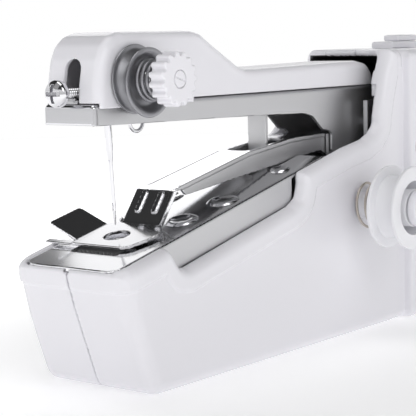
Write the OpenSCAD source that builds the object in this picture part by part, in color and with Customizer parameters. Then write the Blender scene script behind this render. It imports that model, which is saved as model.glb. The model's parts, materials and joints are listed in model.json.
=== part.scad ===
// Handheld sewing machine: a stapler-like body with a steel needle plate, a rocking arm that
// carries the needle, and a rear housing with the motor, gears and cells.
// X runs from the nose to the rear, Y towards the hand wheel, Z up. The origin lies on the
// resting plane, under the needle, on the plane where the two body shells meet.

/* [Body] */
// Half the width of the front body
body_half = 17; // [16.5:0.1:18]
// How far the rear housing stands proud of the front body on each side
housing_out = 1.5; // [1:0.1:2.5]
// Wall thickness of the body shells
wall = 1.8; // [1.6:0.1:2]
// Height of the body's top
body_top = 71; // [70.5:0.1:72]
// Rear end of the body, measured from the needle
tail_x = 192; // [191:0.5:198]
// Radius of the upright corners at the nose
nose_r = 4; // [2:0.5:5]
// Radius of the upright corners at the rear
tail_r = 10; // [6:1:12]

/* [Needle plate] */
// Slope of the needle plate, in degrees
plate_slope = 13; // [12:0.5:14]
// Height of the plate's top under the needle
plate_z = 31.3; // [31:0.1:31.6]
// Thickness of the plate
plate_t = 1; // [0.8:0.1:1.2]
// Depth of the plate's folded side flanges
flange_h = 6.8; // [6:0.1:7.2]

/* [Arm] */
// Half the width of the steel channel
arm_half = 7.2; // [7:0.1:7.4]
// Thickness of the channel's sheet
arm_t = 0.8; // [0.6:0.1:1]
// Height of the hump's top
hump_top = 76.7; // [76:0.1:78]
// Diameter of the needle's shank
needle_d = 1.6; // [1.4:0.1:2]

/* [Tension] */
// Diameter of the tension discs
disc_d = 14.8; // [14:0.2:15.4]
// Diameter over the tension knob's teeth
knob_d = 11.6; // [11:0.2:12.4]
// Number of teeth on the knob
knob_teeth = 15; // [12:1:18]

/* [Bobbin] */
// Diameter of the bobbin's flanges
bobbin_d = 20.3; // [19:0.1:21]
// Width over the bobbin's flanges
bobbin_w = 7.6; // [7:0.1:9]
// Diameter of the bobbin's barrel
barrel_d = 15.6; // [14:0.2:16.4]

/* [Drive] */
// Throw of the crank pin
crank_r = 1.6; // [1.4:0.1:1.7]
// Diameter of the hand wheel
wheel_d = 30; // [26:1:34]
// Diameter of the motor's can
motor_d = 20; // [18:0.5:20.5]
// Diameter of one cell
cell_d = 14.2; // [13.8:0.1:14.5]

/* [Hidden] */
$fn = 48;
fit = 0.05;           // running clearance of a shaft in its bore, on the radius
big = 260;            // longer than the whole machine

// Body outline
housing_half = body_half + housing_out;
housing_x = 95;       // front of the proud rear housing
groove_x = 91.5;      // front of the shadow groove ahead of the housing
groove_in = 0.8;
nose_x = -16.8;
mouth_half = 12;      // half the width of the mouth that the arm enters by
mouth_x = 84;         // front wall of the upper body
mouth_floor = 47;
mouth_top = 69.2;     // underside of the roof over the arm
rim_half = 13.7;      // half the width of the opening that the needle plate closes
rim_h = 7.5;          // depth of the thick rim round that opening
cover_x = 132;        // front end of the battery cover
cover_half = 13;
cover_h = 12;         // height of the cover's upright rear end

// Needle plate
slope = tan(plate_slope);
plate_x0 = -15.3;
plate_x1 = 62;
plate_half = rim_half - 0.1;
needle_hole_x = 1.1;
boss_at = [[14.6, 6.8], [28, 8.2], [50.5, 8.2]]; // X and Y of the pressed bosses, mirrored in Y

// Arm and its pivot
pivot = [92, 52];     // X and Z of the arm's pivot
pivot_r = 1.5;
tail = [114, 52];     // X and Z of the pin that the connecting rod hangs on
tail_pin_r = 1.25;
web_z = 61;           // underside of the channel's web
tension = [-1.5, 66.7];
stud_r = 1.9;
disc_y = 8.2;
knob_y0 = 16.8;
knob_y1 = 20.8;
needle_tilt = 4;      // the needle's top leans this far to the front
tip = [0.2, 34.7];    // X and Z of the needle's point
strap_x = 53;
strap_half = 2.7;
cover_y = 7.9;        // half the width of the arm cover
cover_wall = 1.3;
clamp_z = 64.2;       // height of the needle clamp's screw

// Presser foot
foot_pivot = [79.5, 46.8];
foot_half = 5;
foot_t = 0.8;
ramp_foot = [8, plate_top(8) + 1.3];

// Looper and feed
looper_z = 14;
looper_r = 1.5;
feed_top = 0.15;      // how far the feed dog's teeth stand above the plate

// Drive
crank = [114, 26];
gear_m = 0.8;
crank_teeth = 35;
idler_small = 9;
idler_big = 24;
pinion_teeth = 8;
idler = [96.79, 22];
motor = [84.42, 18];
small_y = 12.7;       // plane of the crank gear and the idler's small wheel
big_y = 10.9;         // plane of the pinion and the idler's big wheel
gear_w = 1.5;
frame_y = 9.4;        // inner face of the gear frame's side plates
frame_t = 1.2;
hub_y = housing_half + 4.2; // end of the crank shaft, in the hand wheel's hub
to_idler = atan2(idler[1] - crank[1], idler[0] - crank[0]);
to_motor = atan2(motor[1] - idler[1], motor[0] - idler[0]);

// Bobbin and spindle
spindle = [73.6, 32.6];
spindle_r = 3;
bobbin_y = body_half + 7.4;

// Cells
cell_l = 50.5;
cell_x0 = 134.5;
cell_z = [10.2, 25];

// Switch
pad_x0 = 111;
pad_half = 3.4;
pad_top = body_top + 1.9;

// Case screws in X and Z. The first one holds the near shell to the gear frame, and the last one is
// driven from the far side.
screw_at = [[100.5, 45.3], [178, 42], [126, 8], [24, 7]];
post_r = 3;
head_r = 2.6;

// ---- helpers ----
// Extrudes a side view, drawn in X and Z, from y0 to y1.
module prism(y0, y1) translate([0, y1, 0]) rotate([90, 0, 0]) linear_extrude(y1 - y0) children();
// A round bar along Y at [x, z].
module bar(at, r, y0, y1) translate([at[0], y1, at[1]]) rotate([90, 0, 0]) cylinder(h = y1 - y0, r = r);
// A round bar along X at [y, z].
module xbar(at, r, x0, x1) translate([x0, at[0], at[1]]) rotate([0, 90, 0]) cylinder(h = x1 - x0, r = r);
// A plain box from one corner to the other.
module box(a, b) translate(a) cube(b - a);
function plate_top(x) = plate_z + slope * x;
// Lays children drawn flat on the needle plate's top, with their origin under the needle.
module on_plate() translate([0, 0, plate_z]) rotate([0, -plate_slope, 0]) children();

// Half an involute tooth's flank, from the base circle out, as [x, y] about the gear's centre.
function involute(rb, t) = [rb * (cos(t) + t * PI / 180 * sin(t)), rb * (sin(t) - t * PI / 180 * cos(t))];
function turned(p, a) = [p[0] * cos(a) - p[1] * sin(a), p[0] * sin(a) + p[1] * cos(a)];
function flank(rb, half, ra, n = 4) = [for (i = [0:n])
    let(tmax = sqrt(pow(ra / rb, 2) - 1) * 180 / PI) turned(involute(rb, tmax * i / n), -half)];
// A spur gear's outline, with one tooth centred on +X.
module gear_outline(teeth) {
    rp = gear_m * teeth / 2;
    rb = rp * cos(20);
    ra = rp + gear_m * 0.82;
    rf = rp - gear_m * 1.15;
    thin = 0.11 / rp * 180 / PI;
    half = 90 / teeth + (tan(20) * 180 / PI - 20) - thin;
    circle(r = rf + 0.02);
    for (k = [0:teeth - 1]) rotate(k * 360 / teeth)
        polygon(concat([turned([rf - 0.3, 0], -half)], flank(rb, half, ra),
            [for (p = [for (i = [4:-1:0]) flank(rb, half, ra)[i]]) [p[0], -p[1]]],
            [turned([rf - 0.3, 0], half)]));
}
module spur(at, teeth, y0, width, phase) translate([at[0], y0 + width, at[1]]) rotate([90, 0, 0])
    linear_extrude(width) rotate(phase) gear_outline(teeth);

// A wire coil along +Z: a swept tube with few sides, for springs.
module coil(r0, r1, wire, length, turns, steps = 14) {
    n = turns * steps;
    sides = 6;
    pts = [for (i = [0:n]) let(a = i * 360 / steps, r = r0 + (r1 - r0) * i / n, z = length * i / n)
        for (s = [0:sides - 1]) let(b = s * 360 / sides, q = r + wire * cos(b))
            [q * cos(a), q * sin(a), z + wire * sin(b)]];
    side_faces = [for (i = [0:n - 1]) for (s = [0:sides - 1])
        let(a = i * sides + s, b = i * sides + (s + 1) % sides) [a, b, b + sides, a + sides]];
    polyhedron(pts, concat([[for (s = [sides - 1:-1:0]) s]], side_faces,
        [[for (s = [0:sides - 1]) n * sides + s]]));
}

// ---- body shells ----
module side_outline() {
    offset(r = 1.5, $fn = 24) offset(delta = -1.5) polygon([
        [-6.6, 0], [184, 0], [tail_x - 2.5, 2.5], [tail_x, 8], [tail_x, 34], [tail_x - 1.5, 43],
        [tail_x - 6, 50], [tail_x - 14, 55], [150, 63.5], [128, body_top - 1], [120, body_top],
        [mouth_x + 5.3, body_top], [mouth_x + 4.6, 69.3], [mouth_x + 2.3, 64], [mouth_x + 0.6, 59],
        [mouth_x - 0.7, 54], [mouth_x - 0.8, 52], [mouth_x - 3.4, 49.9], [77, 48.5], [68, plate_top(68)],
        [nose_x, plate_top(nose_x)]]);
}
module plan_outline() {
    offset(r = nose_r, $fn = 32) offset(delta = -nose_r)
        translate([nose_x - 1, -body_half]) square([groove_x - nose_x + 1, 2 * body_half]);
    translate([groove_x - 10, -body_half + groove_in]) square([20, 2 * (body_half - groove_in)]);
    rear_plan();
}
module rear_plan() hull() {
    translate([housing_x, -housing_half]) square([30, 2 * housing_half]);
    for (s = [-1, 1]) translate([tail_x - tail_r, s * (housing_half - tail_r)]) circle(tail_r, $fn = 32);
}
// The walls' inner faces in plan, without the groove.
module inner_plan() {
    offset(r = nose_r - wall, $fn = 32) offset(delta = wall - nose_r)
        translate([nose_x + wall, wall - body_half]) square([housing_x - nose_x + 5, 2 * (body_half - wall)]);
    offset(delta = -wall) rear_plan();
}
// What is taken off the roof in plan, so its front edge runs back from the near side.
module roof_front() polygon([[mouth_x - 14, -mouth_half - 0.2], [mouth_x + 4.8, -mouth_half - 0.2],
    [mouth_x + 9.3, -7], [mouth_x + 13.3, 0], [mouth_x + 15, 6], [mouth_x + 16, mouth_half + 0.1],
    [mouth_x - 14, mouth_half + 0.1]]);
// The far wall's front top corner, which is lower than the roof.
module far_corner() polygon([[60, 63.8], [mouth_x, 63.8], [mouth_x + 15, 67.2], [mouth_x + 17, 69],
    [mouth_x + 17, 80], [60, 80]]);
// The cut-out in the side rims that shows the plate's flanges.
module rim_cutout() polygon([[-1, plate_top(-1) + 1], [0.6, 29.2], [2.8, 25.6], [5.6, 25.1], [44.6, 34.2],
    [48, 36.6], [49, 40], [49, plate_top(49) + 1]]);
// Everything inside the walls, below the rims and behind the mouth.
module core() {
    intersection() {
        prism(-big, big) difference() {
            offset(delta = -wall) side_outline();
            polygon([[nose_x - 5, plate_top(nose_x) - rim_h - 1], [70, plate_top(70) - rim_h],
                [mouth_x - 1, 45], [mouth_x - 1, 80], [nose_x - 5, 80]]);
        }
        linear_extrude(100) inner_plan();
    }
    prism(-rim_half, rim_half) polygon([[-12.6, plate_top(-12.6) + 3], [-12.6, plate_top(-12.6) - rim_h - 3],
        [mouth_x - 4, 42], [mouth_x + 2, 45], [mouth_x, mouth_floor + 6], [60, 60]]);
    prism(-rim_half, rim_half) polygon([[plate_x0 - 0.1, plate_top(plate_x0) + 4],
        [plate_x0 - 0.1, plate_top(plate_x0) - plate_t], [0, plate_top(0) - plate_t], [0, plate_top(0) + 4]]);
    box([mouth_x - 6, -mouth_half, mouth_floor - 2], [mouth_x + 30, mouth_half, mouth_top]);
}
module shell_body() {
    difference() {
        intersection() {
            prism(-big, big) side_outline();
            linear_extrude(100) plan_outline();
        }
        core();
        translate([0, 0, 60]) linear_extrude(20) roof_front();
        prism(mouth_half, big) far_corner();
        prism(-big, -rim_half) rim_cutout();
        prism(rim_half, big) rim_cutout();
        // battery cover's opening, and the holes in the top and the rear
        box([cover_x, -cover_half, -1], [tail_x + 5, cover_half, wall + 0.1]);
        box([tail_x - 9, -cover_half, -1], [tail_x + 5, cover_half, cover_h]);
        box([pad_x0 + 7, -2.2, body_top - 9], [pad_x0 + 19, 2.2, body_top + 1]);
        xbar([0, 40], 4, tail_x - 8, tail_x + 5);
    }
}
// ---- fixed pieces ----
// Outer face of the body's side at x.
function skin_y(x) = x > housing_x ? housing_half : body_half;
// The hole for a screw driven from the near side, with room for its head.
module screw_hole(p) {
    bar(p, 1.2, -big, 0);
    bar(p, head_r + 0.15, -big, -skin_y(p[0]) + 1.2);
}
module near_shell() color([0.93, 0.92, 0.95]) difference() {
    union() {
        intersection() {
            shell_body();
            box([-50, -big, -1], [big, 0, 100]);
        }
        for (i = [0:3]) let(p = screw_at[i])
            bar(p, post_r, 1 - skin_y(p[0]), i == 0 ? -frame_y - frame_t - 0.02 : 0);
        bar(spindle, 5, -body_half + 1, -body_half + 5);
    }
    for (i = [0:2]) screw_hole(screw_at[i]);
    bar(screw_at[3], 0.9, 3 - body_half, 0);
    bar(spindle, 1.6, -big, -body_half + 6);
}
module far_shell() color([0.93, 0.92, 0.95]) difference() {
    union() {
        intersection() {
            shell_body();
            box([-50, 0, -1], [big, big, 100]);
        }
        for (i = [1:3]) let(p = screw_at[i]) bar(p, post_r, 0, skin_y(p[0]) - 1);
    }
    for (i = [1:2]) bar(screw_at[i], 0.9, 0, body_half - 3);
    mirror([0, 1, 0]) screw_hole(screw_at[3]);
    bar(crank, 2 + fit, 0, big);
}
module plate_band(x0, x1, up, down) polygon([[x0, plate_top(x0) + up], [x1, plate_top(x1) + up],
    [x1, plate_top(x1) - down], [x0, plate_top(x0) - down]]);
module needle_plate() color([0.78, 0.78, 0.8]) difference() {
    union() {
        prism(-plate_half, plate_half) plate_band(plate_x0, plate_x1, 0, plate_t);
        for (y = [-plate_half, plate_half - plate_t]) prism(y, y + plate_t) plate_band(0.5, 45.5, 0, flange_h);
    }
    translate([needle_hole_x, 0, 0]) cylinder(h = 60, r = 1.3);
    box([-7.2, -6.6, 20], [-0.7, 6.9, 40]);
    box([46, -strap_half - 0.6, 30], [59, strap_half + 0.6, 60]);
    box([53, -foot_half - 0.6, 30], [plate_x1 + 1, foot_half + 0.6, 60]);
}
module plate_bosses() color([0.8, 0.8, 0.82]) for (p = boss_at) for (s = [-1, 1])
    translate([p[0], s * p[1], plate_top(p[0])]) rotate([0, -plate_slope, 0]) difference() {
        cylinder(h = 0.5, r = p[0] > 40 ? 2.6 : 3.9);
        translate([0, 0, 0.3]) cylinder(h = 1, r = p[0] > 40 ? 1.2 : 2.2);
    }
module foot_bracket() color([0.7, 0.7, 0.72]) difference() {
    union() {
        prism(-9, 9) polygon([[59.5, 42.6], [59.5, 43.9], [61.8, 44.4], [66, 43], [66, 41.25]]);
        prism(-6.1, 6.1) polygon([[65, 41.45], [65, 43.33], [72, 41], [85, 41], [85, 40], [72, 40]]);
        for (y = [-6.1, 5.3]) box([75, y, 40.5], [84, y + 0.8, 50]);
    }
    bar(foot_pivot, 1.22, -10, 10);
}
module foot_pin() color([0.6, 0.6, 0.62]) bar(foot_pivot, 1.2, -6.2, 6.2);
module foot_spring() color([0.5, 0.5, 0.52]) translate([foot_pivot[0], 3.2, foot_pivot[1]])
    rotate([90, 0, 0]) coil(1.95, 1.95, 0.35, 6.4, 6, 12);
module frame_side() polygon([[76, 5.5], [121, 5.5], [121, 58], [86.5, 58], [86.5, 47], [76, 38]]);
module gear_frame() color([0.72, 0.73, 0.75]) difference() {
    union() {
        for (y = [-frame_y - frame_t, frame_y]) prism(y, y + frame_t) frame_side();
        box([76, -frame_y, 5.5], [121, frame_y, 6.7]);
    }
    bar(pivot, pivot_r + 0.02, -20, 20);
    bar(crank, 2 + fit, 0, 20);
    bar(idler, 1.22, 0, 20);
    bar(motor, 3.05, 0, 20);
    bar(motor, 5, -20, 0);
    bar(screw_at[0], 1.02, -20, 0);
}
module arm_pivot_shaft() color([0.6, 0.6, 0.62]) bar(pivot, pivot_r, -frame_y - 2, frame_y + 2);
module idler_shaft() color([0.6, 0.6, 0.62]) union() {
    bar(idler, 1.2, frame_y - 1.5, small_y + gear_w + 0.6);
    bar(idler, 2.2, frame_y - 1.5, frame_y - 0.02);
}
module motor() color([0.62, 0.63, 0.66]) difference() {
    union() {
        bar(motor, motor_d / 2, 0.2 - frame_y, frame_y - 0.1);
        bar(motor, 3, 5, frame_y + frame_t);
        bar(motor, 4.6, -frame_y - 1, 0);
    }
    bar(motor, 1 + fit, 6, 20);
}
module looper_bracket() color([0.7, 0.7, 0.72]) difference() {
    union() {
        box([12, -4, wall + 0.05], [52, 4, wall + 1]);
        for (x = [12, 50]) box([x, -4, wall + 0.5], [x + 2, 4, looper_z + 3.5]);
    }
    xbar([0, looper_z], looper_r + fit, 0, 60);
}
module bobbin_spindle() color([0.92, 0.92, 0.94]) union() {
    bar(spindle, spindle_r, -bobbin_y - bobbin_w - 2.4, -body_half - 0.1);
    bar(spindle, 4.5, -body_half - 1.2, -body_half - 0.05);
    bar(spindle, 1.55, -body_half - 0.5, -body_half + 5.8);
}
module spindle_spring() color([0.75, 0.75, 0.78]) translate([spindle[0], -body_half - 0.6, spindle[1]])
    rotate([90, 0, 0]) coil(5.3, 5.3, 0.4, 6.1, 2.5, 20);
module spindle_cap() color([0.93, 0.92, 0.95]) difference() {
    bar(spindle, 4.6, -bobbin_y - bobbin_w - 2.9, -bobbin_y - bobbin_w - 0.4);
    bar(spindle, spindle_r + 0.02, -bobbin_y - bobbin_w - 2.42, 0);
}
module battery_tray() color([0.85, 0.85, 0.87]) union() {
    box([131, -15.8, 3], [132.3, 15.8, 33]);
    box([186, -14, 4.4], [187.3, 14, 33]);
    for (s = [-1, 1]) translate([0, 0, 10]) linear_extrude(16) scale([1, s]) polygon([[131.2, 14.8],
        [184.6, 14.8], [186.2, 13.5], [187.3, 13.5], [187.3, 14.4], [182.8, 15.8], [131.2, 15.8]]);
}
module batteries() color([0.25, 0.28, 0.32]) for (z = cell_z) for (s = [-1, 1]) union() {
    xbar([s * 7.35, z], cell_d / 2, cell_x0 + 0.3, cell_x0 + cell_l - 1);
    xbar([s * 7.35, z], 2.75, cell_x0 + cell_l - 2, cell_x0 + cell_l);
}
module battery_contacts() color([0.8, 0.78, 0.7]) for (z = cell_z) for (s = [-1, 1]) {
    box([185.3, s * 7.35 - 3.5, z - 3.5], [185.9, s * 7.35 + 3.5, z + 3.5]);
    box([132.35, s * 7.35 - 3.5, z - 3.5], [132.8, s * 7.35 + 3.5, z + 3.5]);
    translate([132.7, s * 7.35, z]) rotate([0, 90, 0]) coil(2.8, 2.2, 0.3, 1.7, 2, 12);
}
module power_inlet() color([0.15, 0.15, 0.16]) union() {
    difference() {
        xbar([0, 40], 3.9, tail_x - 11, tail_x - 1.2);
        xbar([0, 40], 2.75, tail_x - 9.5, tail_x + 5);
    }
    xbar([0, 40], 0.9, tail_x - 10, tail_x - 2.5);
}
module switch_pad() color([0.93, 0.92, 0.95]) difference() {
    prism(-pad_half, pad_half) polygon([[pad_x0, body_top + 0.02], [120, body_top + 0.02],
        [128, body_top - 0.9], [pad_x0 + 22, body_top - 2.2], [pad_x0 + 21, pad_top - 0.7],
        [pad_x0 + 17, pad_top], [pad_x0, pad_top]]);
    box([pad_x0 + 8.5, -1.6, 60], [pad_x0 + 18, 1.6, 80]);
}
module switch_body() color([0.18, 0.18, 0.2]) difference() {
    box([119.5, -5, 58], [131.5, 5, 66]);
    box([120.4, -1.6, 62], [130, 1.6, 67]);
}
module shell_screws() color([0.6, 0.57, 0.52]) for (i = [0:3]) mirror([0, i == 3 ? 1 : 0, 0])
    let(p = screw_at[i], y0 = -skin_y(p[0]) + 0.2) difference() {
        union() {
            bar(p, head_r, y0, y0 + 1);
            bar(p, i == 0 ? 1 : 1.1, y0, i == 0 ? 0.4 - frame_y : -0.3);
            if (i > 0) bar(p, 0.88, -0.5, body_half - 6);
        }
        box([p[0] - 1.6, y0 - 1, p[1] - 0.3], [p[0] + 1.6, y0 + 0.6, p[1] + 0.3]);
        box([p[0] - 0.3, y0 - 1, p[1] - 1.6], [p[0] + 0.3, y0 + 0.6, p[1] + 1.6]);
    }

// ---- arm ----
module channel_outline() polygon([[-13.4, 57.4], [25, 56.8], [46, 56.4], [63, 55.9], [66.5, 55], [69, 53],
    [71, 51.4], [73.6, 51], [75, 50.2], [75, 45.6], [88, 45], [96, 47.6], [118, 48.2], [118, 56],
    [100, 59.5], [94.2, 61.8], [-13.4, 61.8]]);
module arm_channel() color([0.72, 0.73, 0.75]) difference() {
    union() {
        for (y = [-arm_half, arm_half - arm_t]) prism(y, y + arm_t) channel_outline();
        box([-13.4, -arm_half, web_z], [94.2, arm_half, web_z + arm_t]);
        box([-13.4, -arm_half, 57.4], [-13.4 + arm_t, arm_half, web_z]);
    }
    bar(pivot, pivot_r + fit, -20, 20);
    bar(tail, tail_pin_r + 0.02, -20, 20);
    translate([tip[0] - tan(needle_tilt) * (web_z - tip[1]), 0, 50]) cylinder(h = 20, r = 1.5);
}
module arm_cover_outline() offset(r = 1.2, $fn = 24) offset(delta = -1.2) polygon([[-12.7, 62], [-12.3, 66],
    [-11.3, 71], [-9.8, 74], [-7.4, 75.9], [-4.4, hump_top], [19.5, hump_top], [22.6, hump_top - 0.6],
    [25, 74.6], [36.2, 68.5], [39, 67.7], [43, 67.6], [86, 68.3], [90.6, 67.5], [93.2, 65], [93.9, 62]]);
module arm_cover() color([0.93, 0.92, 0.95]) difference() {
    union() {
        prism(-cover_y, cover_y) arm_cover_outline();
        for (y = [-cover_y, arm_half + 0.05]) prism(y, y + cover_y - arm_half - 0.05)
            polygon([[-12.4, 63], [18.8, 63], [18.8, 60.9], [-12.4, 60.9]]);
    }
    prism(-cover_y + cover_wall, cover_y - cover_wall) difference() {
        offset(delta = -cover_wall) arm_cover_outline();
        polygon([[-20, 50], [100, 50], [100, 61], [-20, 61]]);
    }
    box([-11, -cover_y + cover_wall, 60], [92, cover_y - cover_wall, 64]);
    box([-20, -2.25, 60], [-8, 2.25, 69]);
    xbar([0, 69], 2.25, -20, -8);
    bar(tension, stud_r + 0.02, -20, 0);
}
module needle_line(z0, z1, r) translate([tip[0], 0, tip[1]]) rotate([0, -needle_tilt, 0])
    translate([0, 0, z0]) cylinder(h = z1 - z0, r = r);
module needle_clamp() color([0.7, 0.7, 0.72]) difference() {
    union() {
        box([-12.5, -1.8, web_z + arm_t], [2.6, 1.8, web_z + arm_t + 0.8]);
        box([-12.5, -1.1, web_z + arm_t], [-11.7, 1.1, clamp_z - 1.15]);
        box([-5, -2.1, web_z + arm_t], [2, 2.1, 68.4]);
    }
    needle_line(10, 60, needle_d / 2 + 0.02);
    xbar([0, clamp_z], 1.1 + fit, -10, -2);
}
module needle() color([0.75, 0.76, 0.78]) difference() {
    union() {
        translate([tip[0], 0, tip[1]]) rotate([0, -needle_tilt, 0]) rotate_extrude()
            polygon([[0, 0], [0.42, 3.4], [0.5, 14], [needle_d / 2, 16.5], [needle_d / 2, 33], [0, 33]]);
    }
    needle_eye();
}
module needle_eye() translate([tip[0], 0, tip[1]]) rotate([0, -needle_tilt, 0]) translate([-1, -0.14, 3.6])
    cube([2, 0.28, 1.5]);
module tension_stud() color([0.75, 0.75, 0.78]) difference() {
    union() {
        bar(tension, stud_r, -knob_y1 - 0.2, -5);
        bar(tension, 3.4, -cover_y + cover_wall + 0.02, -5);
    }
    box([tension[0] - 3, -knob_y1 - 1, tension[1] - 0.3], [tension[0] + 3, -knob_y1 + 0.6, tension[1] + 0.3]);
}
// A dished disc about Y whose hub lies at y and whose rim flares by rise.
module dish(y, bore, rise) translate([tension[0], y, tension[1]]) rotate([90, 0, 0]) rotate_extrude()
    polygon([[bore, 0], [4.4, 0], [disc_d / 2 - 0.7, rise], [disc_d / 2, rise], [disc_d / 2, rise + 0.45],
        [disc_d / 2 - 0.9, rise + 0.45], [4.2, 0.45], [bore, 0.45]]);
module rear_tension_disc() color([0.8, 0.8, 0.82]) dish(-disc_y - 1.8, stud_r + 0.05, -1.6);
module front_tension_disc() color([0.8, 0.8, 0.82]) translate([0, 0, -0.7])
    dish(-disc_y - 2.35, stud_r + 0.75, 1.6);
module tension_spring() color([0.45, 0.45, 0.47]) translate([tension[0], -disc_y - 3.9, tension[1] - 0.3])
    rotate([90, 0, 0]) coil(4.4, 3.4, 0.42, 4, 3.5, 16);
module thread_guide() color([0.75, 0.75, 0.78]) translate([2.1, -5.2, 57.6]) union() {
    rotate([90, 0, 0]) rotate_extrude() translate([2.2, 0]) circle(0.4, $fn = 16);
    translate([0, 0, 2]) cylinder(h = web_z - 59.6, r = 0.5);
}
module drive_strap() color([0.72, 0.73, 0.75]) union() {
    box([strap_x - 0.5, -strap_half, 28], [strap_x + 0.5, strap_half, web_z]);
    box([strap_x - 0.5, -strap_half, web_z - 0.9], [strap_x + 4, strap_half, web_z]);
}
module tail_pin() color([0.6, 0.6, 0.62]) bar(tail, tail_pin_r, -arm_half - 0.3, arm_half + 0.3);
module clamp_screw() color([0.75, 0.75, 0.77]) difference() {
    union() {
        xbar([0, clamp_z], 1.1, -16, -2.9);
        xbar([0, clamp_z], 2.85, -18.2, -15.8);
    }
    box([-19, -1.9, clamp_z - 0.35], [-17.2, 1.9, clamp_z + 0.35]);
    box([-19, -0.35, clamp_z - 1.9], [-17.2, 0.35, clamp_z + 1.9]);
}
module tension_knob() color([0.93, 0.92, 0.95]) difference() {
    translate([tension[0], -knob_y0, tension[1]]) rotate([90, 0, 0]) linear_extrude(knob_y1 - knob_y0) {
        circle(knob_d / 2 - 0.6);
        for (k = [0:knob_teeth - 1]) rotate(k * 360 / knob_teeth)
            translate([knob_d / 2 - 0.75, 0]) circle(0.75, $fn = 16);
    }
    bar(tension, stud_r + fit, -big, 0);
    bar(tension, 3, -big, -knob_y1 + 0.8);
}
module connecting_rod() color([0.72, 0.73, 0.75]) let(big_end = [crank[0], crank[1] - crank_r]) difference() {
    union() {
        bar(tail, 3.2, -2, 2);
        bar(big_end, 6.7, -2, 2);
        box([tail[0] - 1.7, -2, big_end[1] + 6], [tail[0] + 1.7, 2, tail[1] - 2]);
    }
    bar(tail, tail_pin_r + fit, -5, 5);
    bar(big_end, 5, -5, 5);
}

// ---- presser foot ----
module foot_top(down) polygon([[13.2, 41.4], [16.5, 42], [42.9, 47.8], [60, 49.8], [76, 50.3], [82.4, 50.3],
    [82.4, 50.3 - down], [76, 50.3 - down], [60, 49.8 - down], [42.9, 47.8 - down], [16.5, 42 - down],
    [13.2, 41.4 - down]]);
// A point on the ramp's upper face, t of the way up and standing out from it.
function ramp_point(t, out) = [ramp_foot[0] + 5.2 * t - 0.8 * out,
    ramp_foot[1] + (41.4 - ramp_foot[1]) * t + 0.6 * out];
module presser_foot() color([0.8, 0.8, 0.82]) difference() {
    union() {
        prism(-foot_half, foot_half) foot_top(foot_t);
        for (y = [-foot_half, foot_half - foot_t]) prism(y, y + foot_t) polygon([[16.5, 42],
            [42.9, 47.8], [60, 49.8], [76, 50.3], [82.4, 50.3], [82.9, 46], [81, 43.9], [77.5, 44],
            [72.7, 46], [18.5, 39.9]]);
        prism(-6.1, foot_half) polygon([[8, plate_top(8) + 0.45], [9, plate_top(8) + 0.7], [14.6, 41.6],
            [13.2, 41.4], ramp_foot]);
        on_plate() translate([0, 0, 0.45]) linear_extrude(0.75) polygon([[-5.4, 8.2], [-5.4, -6.2],
            [-4.4, -7.8], [0, -9.3], [3.6, -9.8], [5.4, -9], [8.7, -6.4], [8.7, 5.4], [7, 8.2]]);
        on_plate() translate([-3.6, 7.9, 0.5]) rotate([25, 0, 0]) cube([10.4, 8.8, 0.6]);
        on_plate() translate([-5.4, 7.9, 0.45]) cube([1.6, 8.2, 0.5]);
        for (y = [-3.6, 1.2]) prism(y, y + 1.4)
            polygon([for (p = [[0.3, -0.2], [0.95, -0.2], [0.95, 0.5], [0.3, 0.5]]) ramp_point(p[0], p[1])]);
    }
    on_plate() translate([needle_hole_x - 0.3, 0, -2]) cylinder(h = 5, r = 3);
    box([44, -strap_half - 0.7, 45], [60, strap_half + 0.7, 60]);
    bar(foot_pivot, 1.2 + fit, -10, 10);
}

// ---- feed and looper ----
module feed_dog() color([0.6, 0.6, 0.62]) on_plate() union() {
    translate([-6.6, 0, 0]) rotate([90, 0, 90]) linear_extrude(3) polygon(concat([[-5.9, -2.6], [6.2, -2.6]],
        [for (k = [9:-1:0]) for (e = [[1.2, -0.9], [0.05, feed_top]]) [-5.9 + 1.21 * k + e[0], e[1]]]));
    translate([-4, 4.4, -2.6]) cube([16, 1.8, 1.2]);
}
module looper_shaft() color([0.6, 0.6, 0.62]) union() {
    xbar([0, looper_z], looper_r, 7, 62);
    translate([60.5, 0, 0]) rotate([90, 0, 90]) linear_extrude(1.5)
        polygon([[-2.2, looper_z - 2], [2, looper_z - 2], [5.4, looper_z + 10], [3, looper_z + 11]]);
    xbar([4.2, looper_z + 10], 0.9, 58.6, 61);
}
module looper_hook() color([0.78, 0.78, 0.8]) difference() {
    translate([5, 0, 0]) rotate([90, 0, 90]) union() {
        linear_extrude(1.2) polygon([[-2.4, looper_z - 2], [2.4, looper_z - 1], [0.4, looper_z + 7],
            [-2.6, looper_z + 11.5], [-1.2, looper_z + 12.8], [2.4, looper_z + 13.6], [-1.6, looper_z + 14.6],
            [-4.2, looper_z + 13], [-4.6, looper_z + 10.6], [-2.6, looper_z + 6]]);
        translate([0, looper_z, 0]) cylinder(h = 5, r = 3);
    }
    xbar([0, looper_z], looper_r, 6.9, 20);
}

// ---- drive ----
module crank_shaft() color([0.6, 0.6, 0.62]) union() {
    bar(crank, 2, 4, hub_y);
    bar(crank, 5.2, 2.4, 4.4);
    bar([crank[0], crank[1] - crank_r], 1.5, -2.6, 3);
}
module crank_gear() color([0.9, 0.88, 0.8]) difference() {
    spur(crank, crank_teeth, small_y, gear_w, to_idler);
    bar(crank, 2, 0, 30);
}
module hand_wheel() color([0.93, 0.92, 0.95]) difference() {
    union() {
        bar(crank, wheel_d / 2, housing_half + 0.7, housing_half + 7.7);
        bar(crank, 5, housing_half + 0.3, housing_half + 1);
    }
    bar(crank, wheel_d / 2 - 2.6, housing_half + 5.2, housing_half + 9);
    for (k = [0:17]) translate([crank[0], 0, crank[1]]) rotate([0, k * 20, 0])
        translate([wheel_d / 2 + 0.7, 0, 0]) bar([0, 0], 1.5, housing_half - 1, housing_half + 9);
    bar(crank, 2, 0, hub_y);
}
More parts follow.
